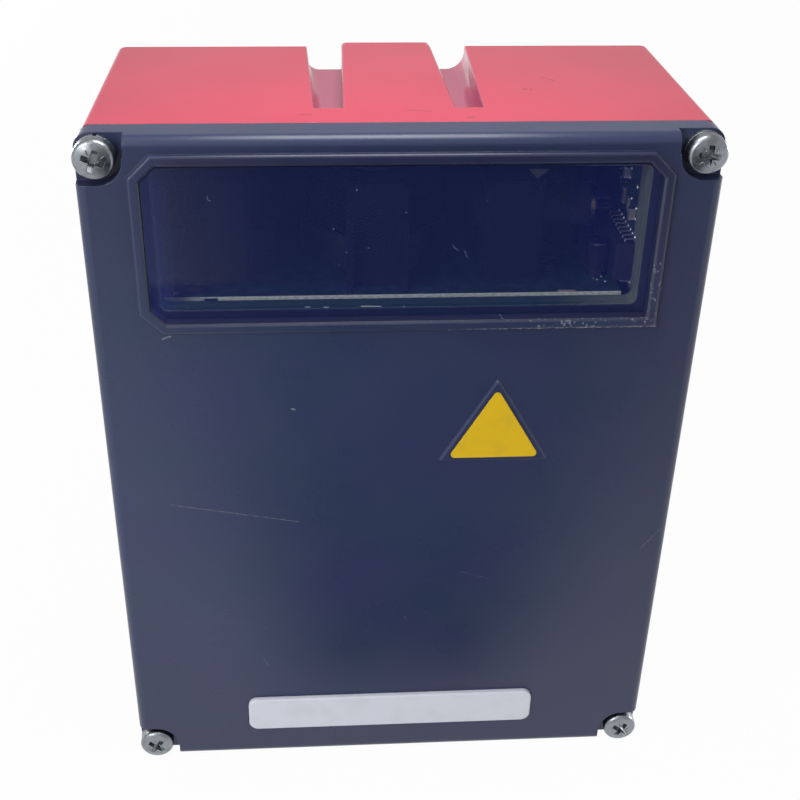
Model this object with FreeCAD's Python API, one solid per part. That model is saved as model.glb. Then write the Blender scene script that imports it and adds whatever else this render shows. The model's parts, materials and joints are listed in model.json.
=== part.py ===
import FreeCAD, Part
import math
import os

# An industrial barcode reader: a red cast box closed by a navy cover with a wide dark window.
# X runs across the cover, Y from the cover back to the rear wall, Z up. The origin is under the
# middle of the reader, on the plane it stands on. All sizes are in millimetres.

V = FreeCAD.Vector

# How far a cut runs past a face, and how deep a raised part reaches into the body it stands on
PAST = 1.0
ROOT = 1.0

# Front cover
COVER_W = 120.0
COVER_H = 156.4
COVER_D = 7.4
COVER_WALL = 3.0
COVER_CORNER = 3.0
COVER_EDGE = 2.0

# Screw pockets in the corners of the cover
SCREW_IN_X = 3.9
SCREW_IN_Z = 4.1
POCKET_R = 5.0
POCKET_IN_X = 9.2
POCKET_STRIP = 3.9
LEDGE_D = 3.2
PROUD = 1.0

# Window: raised frame, pane and clear opening
FRAME_W = 101.0
FRAME_LOW = 116.65
FRAME_HIGH = 153.25
FRAME_CHAMFER = 4.3
FRAME_ROUND = 0.6
PANE_INSET = 2.3
MOUTH_BEVEL = 0.45
PANE_T = 1.9
PANE_SUNK = 0.5
PANE_GAP = 0.12
BOND_T = 0.2
OPENING_X = 46.5
OPENING_LOW = 120.75
OPENING_HIGH = 149.8
OPENING_R = 1.7
COLLAR_W = 2.0
COLLAR_D = 5.4

# Triangular seat and its inlay
TRIANGLE_X = 20.0
TRIANGLE_LOW = 84.95
TRIANGLE_SIDE = 23.2
TRIANGLE_PROUD = 0.5
TRIANGLE_CORNER = 0.5
TRIANGLE_BEVEL = 0.3
INLAY_INSET = 1.15
INLAY_T = 0.25
INLAY_R = 0.85

# Name plate
PLATE_X = -0.3
PLATE_Z = 13.6
PLATE_W = 67.0
PLATE_H = 9.4
PLATE_R = 2.2
PLATE_SEAT = 0.6
PLATE_EDGE = 0.35

# Rear housing
HOUSING_W = 117.8
HOUSING_REAR_W = 116.8
HOUSING_D = 50.7
HOUSING_WALL = 3.5
HOUSING_CORNER = 1.8
HOUSING_EDGE = 1.2
PILLAR = 12.0
COVER_HOLE_DEPTH = 11.0
CHASSIS_BOSS_R = 4.5
BOARD_BOSS_R = 3.5
HOLE_INTO_WALL = 1.5
RAIL_W = 19.7
RAIL_PROUD = 2.9
RAIL_HOLE_R = 2.5
RAIL_HOLE_DEPTH = 6.5
RAIL_HOLE_SPACING = 100.0
RAIL_BOSS_R = 5.5
RAIL_BOSS_CAP = 2.0

# Grooves in the top of the housing, wider at the rear
GROOVE_START = 16.1
GROOVE_DEPTH = 5.5
GROOVE_FRONT = (10.9, 16.2)
GROOVE_REAR = (9.85, 17.45)
GROOVE_FILLETS = {-1: 2.7, 1: 4.0}
GROOVE_ROOF = 3.0
GROOVE_EASE = 0.6
EASE_ANGLES = (0, 30, 60, 90)

# Joint seal
SEAL_OUT = 0.8
SEAL_W = 1.8
SEAL_D = 1.5
SEAL_GAP = 0.1
SEAL_R = 1.0

# Metric screws: the size of the thread, the play of a shank in it and the play in a through hole
M4_R = 2.0
M3_R = 1.5
M25_R = 1.25
THREAD_GAP = 0.02
HOLE_GAP = 0.25

# Cover screws: pan heads with a cross recess and marks between its arms
HEAD_R = 3.85
HEAD_H = 3.1
HEAD_CROWN_R = 9.3
HEAD_SHOULDER = 0.9
COVER_SCREW_LENGTH = 13.0
CROSS_ARM = 2.35
CROSS_W = 1.15
CROSS_DEPTH = 1.7
CROSS_FOOT = 1.0
MARK_FROM = 1.4
MARK_TO = 2.7
MARK_W = 0.2
MARK_DEPTH = 0.3
WASHER_R = 3.9
WASHER_T = 1.1
WASHER_SLIT = 0.7
SCREW_TURNS = (20.0, 6.0, 38.0, 32.0)

# Small screws: head and slot in proportion to the shank's radius
SMALL_HEAD_R = 1.85
SMALL_HEAD_H = 1.2
SLOT_LONG = 1.4
SLOT_WIDE = 0.37
SLOT_DEEP = 0.65
CHASSIS_SCREW_L = 6.5
DECK_SCREW_L = 5.0
SIDE_SCREW_L = 7.0
MAIN_SCREW_L = 8.0

# Optics deck, seen along the bottom of the window
BOARD_T = 1.5
DECK_TOP = 117.7
DECK_T = 4.0
DECK_FRONT = 10.5
DECK_BACK = 52.1
DECK_LEFT = -50.0
DECK_RIGHT = 48.3
BOARD_LEFT = -47.0
BOARD_RIGHT = 45.8
BOARD_FRONT = 10.0
BOARD_BACK = 46.0
BOARD_NOTCH = (-39.0, -36.2)
BOARD_NOTCH_DEEP = 3.0
BOARD_NOTCH_H = 1.15
UPRIGHT_T = 3.0
UPRIGHT_W = 90.0
UPRIGHT_TOP = 145.0
UPRIGHT_SCREWS = ((-38.0, 125.0), (38.0, 125.0), (-38.0, 139.0), (38.0, 139.0))
DECK_SCREWS = ((-41.0, 12.8), (32.7, 21.4), (-36.0, 43.0), (40.0, 43.0))

# Mirror wheel and its motor
BEAM_D = 22.0
BEAM_Z = 133.5
WHEEL_X = -4.0
WHEEL_APOTHEM = 14.0
WHEEL_FACETS = 8
WHEEL_T = 10.0
HUB_R = 5.0
SHAFT_R = 1.49
SHAFT_PLAY = 0.03
TUBE_R = 4.9
BEARING_R = 4.0
BEARING_T = 3.0
STATOR_R = 11.8
STATOR_POLES = 9
MAGNET_R = 12.6
CUP_R = 15.5
CUP_WALL = 1.5
CUP_TOP = 1.2
PRESS_GAP = 0.01
MOTOR_FLANGE_R = 11.0
MOTOR_FLANGE_T = 2.0
MOTOR_SCREW_R = 8.3
MOTOR_HOLE_R = 12.5
YOKE_R = 7.0
POLE_W = 2.2
POLE_TIP = 1.5
POLE_GAP = 1.2
COIL_FROM = 7.2
COIL_TO = 10.1
COIL_W = 3.6
COIL_GAP = 0.1
CLIP_R = 8.5
CLIP_T = 0.7
CLIP_NOTCH = 6.8
CLIP_NOTCH_W = 2.0
RING_R = 2.8

# Plate in front of the wheel that parts the light going out from the light coming back
PARTITION_D = 14.0
PARTITION_T = 1.2
PARTITION_W = 12.4
PARTITION_TOP = 141.5
PARTITION_CORNER = 2.0
WING_DEEP = 3.0
WING_TOP = 135.0
TAB_W = 3.0
TAB_SPACING = 7.0
TAB_GAP = 0.05

# Heights on the spindle, counted from the underside of the wheel
TUBE_SPAN = (-20.8, -1.5)
BEARING_LOWS = (-19.8, -5.0)
STATOR_SPAN = (-6.5, -3.5)
COIL_SPAN = (-7.3, -2.7)
SKIRT_SPAN = (-7.6, 0.0)
MAGNET_SPAN = (-7.3, -2.3)
SHAFT_SPAN = (-20.6, 11.5)
RING_SPAN = (-20.5, -20.1)

# Laser, which shines along X onto the wheel
LASER_BLOCK = (18.0, 30.0)
LASER_BLOCK_DEEP = 12.0
LASER_BLOCK_UP = 7.5
LASER_SPLIT = 1.2
BARREL = (16.0, 40.5)
BARREL_R = 4.2
BARREL_BORE_R = 1.6
BARREL_RING = 0.8
BARREL_RING_R = 4.5
LENS_T = 2.2
LENS_RIM = 1.0
LENS_R = 3.0
LENS_SEAT = 2.5
LENS_DOME_R = 6.0
LENS_GAP = 0.05
DIODE = (37.5, 41.2)
DIODE_R = 2.8
LEAD_END = 44.5
LEAD_RING_R = 1.2
LEAD_R = 0.25

# Receiver, which looks along X at the wheel
HOLDER_EDGE = 1.0
RECEIVER_BLOCK = (-38.0, -30.0)
RECEIVER_BLOCK_DEEP = 14.0
RECEIVER_BLOCK_UP = 8.0
RECEIVER_LENS_R = 5.45
RECEIVER_LENS_T = 4.0
RECEIVER_DOME_R = 10.0
RECEIVER_BOARD_X = -46.6
RECEIVER_BOARD_D = (17.5, 29.0)
RECEIVER_BOARD_UP = 5.0
PHOTODIODE = 6.0
PHOTODIODE_T = 1.4
PHOTODIODE_SIGHT = 4.0
PHOTODIODE_SUNK = 0.4

# Side board, seen through the right of the window
SIDE_FACE = 48.8
SIDE_LOW = 105.5
SIDE_HIGH = 145.8
SIDE_FRONT = 8.5
SIDE_BACK = 50.0
SIDE_SCREWS = ((12.5, 109.5), (46.0, 109.5), (46.0, 141.0))
CHIP_D = 22.05
CHIP_Z = 123.7
CHIP_LENGTH = 15.6
CHIP_WIDTH = 8.2
CHIP_T = 3.6
CHIP_STAND = 0.2
CHIP_BEVEL = 0.3
LEAD_PITCH = 1.97
LEAD_SPAN = 10.4
LEAD_W = 0.5
LEAD_T = 0.2
LEAD_FOOT = 0.5
LEADS_PER_SIDE = 8
LINK_X = 45.4
LINK_D = (31.0, 44.0)
LINK_H = 4.0

# Parts on the side board: depth, height, length, width and thickness
SIDE_PARTS = (
    (24.8, 139.3, 1.6, 2.3, 1.25), (26.4, 133.5, 1.6, 3.4, 0.5),
    (22.4, 133.2, 1.6, 2.9, 0.4), (17.6, 133.1, 1.6, 2.4, 1.25))

# Round cans on the deck board: x, depth, radius and height
DECK_CANS = ((42.3, 18.8, 2.3, 7.5), (38.0, 35.5, 4.0, 10.0))
CAN_EDGE = 0.4
CAN_GROOVE = (1.2, 1.7)
CAN_GROOVE_DEPTH = 0.2

# Main board in the lower half
MAIN_FACE = 44.0
MAIN_W = 94.0
MAIN_LOW = 24.0
MAIN_HIGH = 104.0
MAIN_SCREWS = ((-42.0, 29.0), (42.0, 29.0), (-42.0, 99.0), (42.0, 99.0))
PROCESSOR_X = (-18.0, 6.0)
PROCESSOR_Z = (62.0, 86.0)
PROCESSOR_H = 3.4
PROCESSOR_BEVEL = 0.8
MEMORY_XS = ((-42.0, -34.0), (-31.0, -23.0))
MEMORY_Z = (62.0, 80.0)
MEMORY_H = 2.6
POWER_X = (16.0, 40.0)
POWER_Z = (56.0, 80.0)
POWER_H = 12.0
MAIN_CAN_XS = (20.0, 32.0)
MAIN_CAN_Z = 46.0
MAIN_CAN_R = 5.0
MAIN_CAN_H = 13.0

# Fifteen-way plug in the pocket of the floor
PLUG_D = 32.0
POCKET_W = 48.0
POCKET_DEEP = 20.0
POCKET_H = 9.0
POCKET_WALL = 3.5
POCKET_CORNER = 2.0
PASSAGE_W = 27.6
PASSAGE_DEEP = 10.0
SHELL_W = 25.3
SHELL_DEEP = 8.5
SHELL_H = 6.0
SHELL_T = 0.5
SHELL_R = 2.0
SHELL_SLANT = 10.0
FLANGE_W = 39.1
FLANGE_DEEP = 12.5
FLANGE_T = 0.8
FLANGE_R = 1.5
POST_X = 16.66
POST_HEX = 5.0
POST_H = 5.0
POST_BORE_R = 1.2
POST_BORE = 4.0
POST_STUD = 3.2
PIN_R = 0.5
PIN_PITCH = 2.77
PIN_ROWS = 2.84
PIN_ROW_COUNTS = (8, 7)
PIN_TIP_R = 0.2
PIN_SHY = 0.8
PIN_TAIL = 0.8
INSERT_PROUD = 1.0
INSERT_GAP = 0.05
PLUG_BOARD_Z = 16.2
PLUG_BOARD_W = 44.0
PLUG_BOARD_DEEP = 16.0
SOCKET_W = 26.0
SOCKET_DEEP = 7.0
SOCKET_TOP = 24.0
SOCKET_WALL = 1.0
SOCKET_HOLLOW = 2.0

# Flat cables and their headers
CABLE_T = 0.9
CABLE_W = 16.0
CABLE_BEND = 3.5
CABLE_SLOT = (18.0, 4.0)
OPTICS_CABLE_X = -34.0
OPTICS_CABLE_Z = 92.0
INTERFACE_CABLE_Z = 40.0
HEADER_W = 18.0
HEADER_T = 5.0
HEADER_H = 8.0
DECK_HEADER_H = 6.0

# Places worked out from the sizes above
TOTAL_D = PROUD + COVER_D + HOUSING_D + RAIL_PROUD
FACE = PROUD - TOTAL_D / 2
JOINT = FACE + COVER_D
BACK = JOINT + HOUSING_D
RAIL_BACK = BACK + RAIL_PROUD
INNER_BACK = BACK - HOUSING_WALL
CAVITY_X = HOUSING_W / 2 - HOUSING_WALL
CAVITY_LOW = HOUSING_WALL
CAVITY_HIGH = COVER_H - HOUSING_WALL
SCREW_X = COVER_W / 2 - SCREW_IN_X
SCREW_ZS = (SCREW_IN_Z, COVER_H - SCREW_IN_Z)
WHEEL_D = BEAM_D + WHEEL_APOTHEM * math.sin(math.radians(45))
WHEEL_LOW = BEAM_Z - WHEEL_T / 2
BOARD_TOP = DECK_TOP + BOARD_T
FLANGE_LOW = POCKET_H - FLANGE_T


def behind(depth):
    """The y of a place that lies so far behind the cover's face."""
    return FACE + depth


def block(x, y, z):
    """A block between two x, two y and two z values."""
    return Part.makeBox(x[1] - x[0], y[1] - y[0], z[1] - z[0], V(x[0], y[0], z[0]))


def around(middle, width):
    """The two ends of a width about its middle."""
    return (middle - width / 2, middle + width / 2)


def rod_x(x, y, z, radius):
    """A round rod along X, between two x values."""
    return Part.makeCylinder(radius, x[1] - x[0], V(x[0], y, z), V(1, 0, 0))


def rod_y(x, y, z, radius):
    """A round rod along Y, between two y values."""
    return Part.makeCylinder(radius, y[1] - y[0], V(x, y[0], z), V(0, 1, 0))


def rod_z(x, y, z, radius):
    """A round rod along Z, between two z values."""
    return Part.makeCylinder(radius, z[1] - z[0], V(x, y, z[0]), V(0, 0, 1))


def rounded_face(corners):
    """A flat face through (point, radius) corners, joined by straight edges and arcs."""
    edges = []
    ends = []
    for i, (here, radius) in enumerate(corners):
        to_last = (corners[i - 1][0] - here).normalize()
        to_next = (corners[(i + 1) % len(corners)][0] - here).normalize()
        if radius == 0:
            ends.append((here, here))
            continue
        half = to_last.getAngle(to_next) / 2
        inward = (to_last + to_next).normalize()
        start = here + to_last * (radius / math.tan(half))
        end = here + to_next * (radius / math.tan(half))
        middle = here + inward * (radius / math.sin(half) - radius)
        edges.append(Part.Arc(start, middle, end).toShape())
        ends.append((start, end))
    for i, (start, end) in enumerate(ends):
        last_end = ends[i - 1][1]
        if last_end.distanceToPoint(start) > 1e-6:
            edges.append(Part.makeLine(last_end, start))
    return Part.Face(Part.Wire(Part.__sortEdges__(edges)))


def slab_y(outline, y):
    """An (x, z, radius) outline, drawn out along Y between two y values."""
    face = rounded_face([(V(x, y[0], z), radius) for x, z, radius in outline])
    return face.extrude(V(0, y[1] - y[0], 0))


def slab_z(outline, z):
    """An (x, y, radius) outline, drawn out along Z between two z values."""
    face = rounded_face([(V(x, y, z[0]), radius) for x, y, radius in outline])
    return face.extrude(V(0, 0, z[1] - z[0]))


def rectangle(x, z, radius=0):
    """The outline of a rectangle between two x and two z values."""
    return [(x[0], z[0], radius), (x[1], z[0], radius), (x[1], z[1], radius), (x[0], z[1], radius)]


def edges_where(shape, test):
    """The edges whose every vertex passes a test."""
    return [e for e in shape.Edges if all(test(v.Point) for v in e.Vertexes)]


def cavity_outline(grow, radius=0):
    """The inside of the box seen from the front: a rectangle with its corners cut by the screw pillars."""
    x = CAVITY_X + grow
    low = CAVITY_LOW - grow
    high = CAVITY_HIGH + grow
    cut = PILLAR + grow * (2 - math.sqrt(2))
    corners = [(-x, low + cut), (-x + cut, low), (x - cut, low), (x, low + cut),
               (x, high - cut), (x - cut, high), (-x + cut, high), (-x, high - cut)]
    return [(*corner, radius) for corner in corners]


def window_outline(inset):
    """The window frame seen from the front, with three corners cut and the lower right one square."""
    x = FRAME_W / 2 - inset
    low = FRAME_LOW + inset
    high = FRAME_HIGH - inset
    cut = FRAME_CHAMFER - inset * (2 - math.sqrt(2))
    return [(-x, low + cut, 0), (-x + cut, low, 0), (x, low, 0), (x, high - cut, 0),
            (x - cut, high, 0), (-x + cut, high, 0), (-x, high - cut, 0)]


def opening_outline(grow=0.0):
    """The clear opening behind the pane."""
    x = OPENING_X + grow
    return rectangle((-x, x), (OPENING_LOW - grow, OPENING_HIGH + grow), OPENING_R)


def triangle_outline(inset, radius):
    """The triangular seat seen from the front."""
    side = TRIANGLE_SIDE - 2 * math.sqrt(3) * inset
    low = TRIANGLE_LOW + inset
    return [(TRIANGLE_X - side / 2, low, radius), (TRIANGLE_X + side / 2, low, radius),
            (TRIANGLE_X, low + side * math.sqrt(3) / 2, radius)]


def plate_outline(grow=0.0):
    """The name plate seen from the front."""
    x = PLATE_W / 2 + grow
    z = PLATE_H / 2 + grow
    return rectangle((PLATE_X - x, PLATE_X + x), (PLATE_Z - z, PLATE_Z + z), PLATE_R)


def cover_screw_places():
    """The x and z of the four cover screws: top left, top right, bottom left, bottom right."""
    return [(x, z) for z in reversed(SCREW_ZS) for x in (-SCREW_X, SCREW_X)]


def screw_pocket(x, z):
    """The space cut from a corner of the cover around a screw, open to the two edges beside it."""
    side = math.copysign(1, x)
    up = 1 if z > COVER_H / 2 else -1
    edge_x = side * (COVER_W / 2 + PAST)
    edge_z = COVER_H + PAST if up > 0 else -PAST
    strip_x = side * (COVER_W / 2 - POCKET_IN_X)
    strip_z = COVER_H - POCKET_STRIP if up > 0 else POCKET_STRIP
    y = (FACE - PAST, FACE + LEDGE_D)
    bowl = rod_y(x, y, z, POCKET_R)
    strip = block(sorted((strip_x, edge_x)), y, sorted((strip_z, edge_z)))
    outside = block(sorted((x, edge_x)), y, sorted((z - up * POCKET_R, edge_z)))
    return bowl.fuse([strip, outside])


def front_cover():
    x = COVER_W / 2
    cover = slab_y(rectangle((-x, x), (0, COVER_H), COVER_CORNER), (FACE, JOINT))
    cover = cover.makeFillet(COVER_EDGE, edges_where(cover, lambda p: abs(p.y - FACE) < 1e-6))
    frame = slab_y(window_outline(0), (FACE - PROUD, FACE + ROOT))
    frame = frame.makeFillet(FRAME_ROUND, edges_where(frame, lambda p: p.y < FACE))
    seat = slab_y(triangle_outline(0, TRIANGLE_CORNER), (FACE - TRIANGLE_PROUD, FACE + ROOT))
    seat = seat.makeChamfer(TRIANGLE_BEVEL, edges_where(seat, lambda p: p.y < FACE))
    cover = cover.fuse([frame, seat])
    pane_floor = FACE - PROUD + PANE_SUNK + PANE_T + BOND_T
    collar = slab_y(opening_outline(COLLAR_W), (FACE + COVER_WALL, FACE + COLLAR_D))
    cuts = [slab_y(window_outline(PANE_INSET - PANE_GAP), (FACE - PROUD, pane_floor)), pane_mouth(),
            slab_y(opening_outline(), (FACE, JOINT)),
            slab_y(cavity_outline(0), (FACE + COVER_WALL, JOINT)).cut(collar),
            slab_y(plate_outline(PANE_GAP), (FACE - PROUD, FACE + PLATE_SEAT)),
            seal_ring(0, SEAL_W)]
    for place in cover_screw_places():
        cuts.append(screw_pocket(*place))
        cuts.append(rod_y(place[0], (FACE, JOINT), place[1], M4_R + HOLE_GAP))
    return cover.cut(cuts)


def pane_mouth():
    """The bevelled mouth of the seat that the pane lies in."""
    front = FACE - PROUD
    mouth = slab_y(window_outline(PANE_INSET - PANE_GAP - MOUTH_BEVEL), (front - PAST, front + MOUTH_BEVEL))
    return mouth.makeChamfer(MOUTH_BEVEL, edges_where(mouth, lambda p: p.y > front))


def seal_ring(inset, width):
    """A band of square section round the joint, set back from the cavity and inside the screws."""
    y = (JOINT - SEAL_D, JOINT)
    outer = slab_y(cavity_outline(SEAL_OUT + inset + width, SEAL_R), y)
    return outer.cut(slab_y(cavity_outline(SEAL_OUT + inset, SEAL_R), y))


def cover_gasket():
    return seal_ring(SEAL_GAP, SEAL_W - 2 * SEAL_GAP)


def window_pane():
    front = FACE - PROUD + PANE_SUNK
    return slab_y(window_outline(PANE_INSET), (front, front + PANE_T))


def window_bond():
    front = FACE - PROUD + PANE_SUNK + PANE_T
    y = (front, front + BOND_T)
    return slab_y(window_outline(PANE_INSET), y).cut(slab_y(opening_outline(BOND_T), y))


def triangle_inlay():
    y = (FACE - TRIANGLE_PROUD - INLAY_T, FACE - TRIANGLE_PROUD)
    return slab_y(triangle_outline(INLAY_INSET, INLAY_R), y)


def name_plate():
    plate = slab_y(plate_outline(), (FACE - PROUD, FACE + PLATE_SEAT))
    return plate.makeFillet(PLATE_EDGE, edges_where(plate, lambda p: p.y < FACE))


def cover_screw(x, z, turn):
    """A pan-head screw with a cross recess and four marks between its arms."""
    seat = FACE + LEDGE_D - WASHER_T
    crown = seat - HEAD_H
    ball = Part.makeSphere(HEAD_CROWN_R, V(0, crown + HEAD_CROWN_R, 0))
    head = rod_y(0, (crown, seat), 0, HEAD_R).common(ball)
    head = head.makeFillet(HEAD_SHOULDER, edges_where(head, lambda p: p.y < seat - HEAD_H / 2))
    deep = (crown, crown + CROSS_DEPTH)
    arm = (-CROSS_ARM, CROSS_ARM)
    bars = block(arm, deep, around(0, CROSS_W)).fuse(block(around(0, CROSS_W), deep, arm))
    taper = Part.makeCone(CROSS_ARM, CROSS_FOOT, CROSS_DEPTH, V(0, crown, 0), V(0, 1, 0))
    head = head.cut(bars.common(taper))
    for i in range(4):
        mark = block((MARK_FROM, MARK_TO), (crown - PAST, crown + MARK_DEPTH), around(0, MARK_W))
        mark.rotate(V(0, 0, 0), V(0, 1, 0), 45 + 90 * i)
        head = head.cut(mark)
    shank = rod_y(0, (seat, seat + COVER_SCREW_LENGTH), 0, M4_R - THREAD_GAP)
    screw = head.fuse(shank)
    screw.rotate(V(0, 0, 0), V(0, 1, 0), turn)
    screw.translate(V(x, 0, z))
    return screw


def cover_screws():
    return [cover_screw(x, z, turn) for (x, z), turn in zip(cover_screw_places(), SCREW_TURNS)]


def spring_washers():
    """Split washers under the screw heads, each with its slit at its own angle."""
    y = (FACE + LEDGE_D - WASHER_T, FACE + LEDGE_D)
    washers = []
    for (x, z), turn in zip(cover_screw_places(), SCREW_TURNS):
        ring = rod_y(0, y, 0, WASHER_R).cut(rod_y(0, y, 0, M4_R + HOLE_GAP))
        slit = block((0, WASHER_R + PAST), y, around(0, WASHER_SLIT))
        ring = ring.cut(slit)
        ring.rotate(V(0, 0, 0), V(0, 1, 0), -2 * turn - 45)
        ring.translate(V(x, 0, z))
        washers.append(ring)
    return washers


def housing_shell():
    """The outside of the housing: a box with drafted sides, rounded edges and a rail down its back."""
    front = HOUSING_W / 2
    rear = HOUSING_REAR_W / 2
    rail = RAIL_W / 2
    soft = HOUSING_EDGE / 2
    plan = [(-front, JOINT, 0), (front, JOINT, 0), (rear, BACK, HOUSING_CORNER),
            (rail, BACK, soft), (rail, RAIL_BACK, soft), (-rail, RAIL_BACK, soft), (-rail, BACK, soft),
            (-rear, BACK, HOUSING_CORNER)]
    shell = slab_z(plan, (0, COVER_H))

    def on_top(p):
        return abs(p.z - COVER_H) < 1e-6

    joint_edges = edges_where(shell, lambda p: abs(p.y - JOINT) < 1e-6)
    top_edges = [e for e in edges_where(shell, on_top) if not any(e.isSame(j) for j in joint_edges)]
    return shell.makeFillet(HOUSING_EDGE, top_edges)


def groove_outline(side, grow):
    """The (x, y) corners of a groove, tapered in plan and grown on its front and its sides."""
    start = behind(GROOVE_START)
    end = RAIL_BACK + PAST
    reach = (end - start) / (BACK - start)
    near, far = GROOVE_FRONT
    end_near, end_far = [a + (b - a) * reach for a, b in zip(GROOVE_FRONT, GROOVE_REAR)]
    return [(side * (near - grow), start - grow), (side * (far + grow), start - grow),
            (side * (end_far + grow), end), (side * (end_near - grow), end)]


def top_groove(side):
    """The space of a groove, with a rounded foot to its outer wall."""
    outline = [(x, y, 0) for x, y in groove_outline(side, 0)]
    floor = COVER_H - GROOVE_DEPTH
    groove = slab_z(outline, (floor, COVER_H + PAST))
    foot = edges_where(groove, lambda p: abs(p.z - floor) < 1e-6 and abs(p.x) > GROOVE_FRONT[1] - 1e-6)
    return groove.makeFillet(GROOVE_FILLETS[side], foot)


def groove_mouth(side):
    """What is taken off the top edges of a groove to ease them."""
    rings = []
    for angle in EASE_ANGLES:
        grow = GROOVE_EASE * (1 - math.cos(math.radians(angle)))
        z = COVER_H - GROOVE_EASE * (1 - math.sin(math.radians(angle)))
        points = [V(x, y, z) for x, y in groove_outline(side, grow)]
        rings.append(Part.makePolygon(points + points[:1]))
    return Part.makeLoft(rings, True, True)


def housing_bosses():
    """What stands on the inside of the walls to carry the boards, the chassis and the rail's screws."""
    bosses = [rod_y(x, (behind(DECK_BACK), INNER_BACK), z, CHASSIS_BOSS_R) for x, z in UPRIGHT_SCREWS]
    bosses += [rod_y(x, (behind(MAIN_FACE + BOARD_T), INNER_BACK), z, BOARD_BOSS_R) for x, z in MAIN_SCREWS]
    bosses += [rod_x((SIDE_FACE + BOARD_T, CAVITY_X), behind(d), z, BOARD_BOSS_R) for d, z in SIDE_SCREWS]
    cap = RAIL_BACK - RAIL_HOLE_DEPTH - RAIL_BOSS_CAP
    bosses += [rod_y(0, (cap, INNER_BACK), z, RAIL_BOSS_R) for z in rail_hole_zs()]
    return bosses


def rail_hole_zs():
    return around(COVER_H / 2, RAIL_HOLE_SPACING)


def housing_holes():
    """The threaded holes of the housing, at the size of the screws they take."""
    holes = [rod_y(x, (JOINT, JOINT + COVER_HOLE_DEPTH), z, M4_R) for x, z in cover_screw_places()]
    holes += [rod_y(x, (behind(DECK_BACK), INNER_BACK + HOLE_INTO_WALL), z, M3_R) for x, z in UPRIGHT_SCREWS]
    holes += [rod_y(x, (behind(MAIN_FACE + BOARD_T), INNER_BACK), z, M3_R) for x, z in MAIN_SCREWS]
    side_x = (SIDE_FACE + BOARD_T, CAVITY_X + HOLE_INTO_WALL)
    holes += [rod_x(side_x, behind(d), z, M3_R) for d, z in SIDE_SCREWS]
    holes += [rod_y(0, (RAIL_BACK - RAIL_HOLE_DEPTH, RAIL_BACK), z, RAIL_HOLE_R) for z in rail_hole_zs()]
    holes += [rod_z(x, behind(PLUG_D), (POCKET_H, POCKET_H + POCKET_WALL), M3_R) for x in (-POST_X, POST_X)]
    return holes


def rear_housing():
    shell = housing_shell().cut(slab_y(cavity_outline(0), (JOINT, INNER_BACK)))
    roof_x = GROOVE_REAR[1] + GROOVE_ROOF
    roof_low = COVER_H - GROOVE_DEPTH - GROOVE_ROOF
    roof = block((-roof_x, roof_x), (behind(GROOVE_START - GROOVE_ROOF), INNER_BACK), (roof_low, CAVITY_HIGH))
    plug_y = behind(PLUG_D)
    well = block(around(0, POCKET_W + 2 * POCKET_WALL), around(plug_y, POCKET_DEEP + 2 * POCKET_WALL),
                 (CAVITY_LOW, POCKET_H + POCKET_WALL))
    shell = shell.fuse([roof, well] + housing_bosses())
    pocket = slab_z(rectangle(around(0, POCKET_W), around(plug_y, POCKET_DEEP), POCKET_CORNER), (0, POCKET_H))
    passage = block(around(0, PASSAGE_W), around(plug_y, PASSAGE_DEEP), (POCKET_H, POCKET_H + POCKET_WALL))
    grooves = [cut(side) for cut in (top_groove, groove_mouth) for side in (-1, 1)]
    return shell.cut(grooves + [pocket, passage] + housing_holes())


def small_screw(radius, length):
    """A cylinder-head screw with a cross slot, pointing along +Z with the seat of its head at the origin."""
    top = -SMALL_HEAD_H * radius
    head = rod_z(0, 0, (top, 0), SMALL_HEAD_R * radius)
    long = around(0, 2 * SLOT_LONG * radius)
    wide = around(0, 2 * SLOT_WIDE * radius)
    deep = (top, top + SLOT_DEEP * radius)
    head = head.cut([block(long, wide, deep), block(wide, long, deep)])
    return head.fuse(rod_z(0, 0, (0, length), radius - THREAD_GAP))


def place_screws(radius, length, seats, axis):
    """Small screws at a list of seats, all pointing one way."""
    screws = []
    for seat in seats:
        screw = small_screw(radius, length)
        screw.Placement = FreeCAD.Placement(V(*seat), FreeCAD.Rotation(V(0, 0, 1), V(*axis)))
        screws.append(screw)
    return screws


def optics_chassis():
    """A level deck with an upright wall at its rear."""
    z = (DECK_TOP - DECK_T, DECK_TOP)
    wall_y = (behind(DECK_BACK - UPRIGHT_T), behind(DECK_BACK))
    deck = block((DECK_LEFT, DECK_RIGHT), (behind(DECK_FRONT), behind(DECK_BACK)), z)
    chassis = deck.fuse(block(around(0, UPRIGHT_W), wall_y, (DECK_TOP, UPRIGHT_TOP)))
    cuts = [rod_y(x, wall_y, up, M3_R) for x, up in UPRIGHT_SCREWS]
    cuts += [rod_z(x, behind(d), z, M25_R) for x, d in DECK_SCREWS]
    cuts += [rod_z(x, y, z, M25_R) for x, y in flange_screw_places()]
    cuts += [rod_z(WHEEL_X, behind(WHEEL_D), z, TUBE_R + THREAD_GAP), cable_slot(z)]
    return chassis.cut(cuts)


def cable_slot(z):
    """The slot in the deck and its board that the flat cable comes up through."""
    return block(around(OPTICS_CABLE_X, CABLE_SLOT[0]), around(behind(PLUG_D), CABLE_SLOT[1]), z)


def chassis_screws():
    y = behind(DECK_BACK - UPRIGHT_T)
    return place_screws(M3_R, CHASSIS_SCREW_L, [(x, y, z) for x, z in UPRIGHT_SCREWS], (0, 1, 0))


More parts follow.
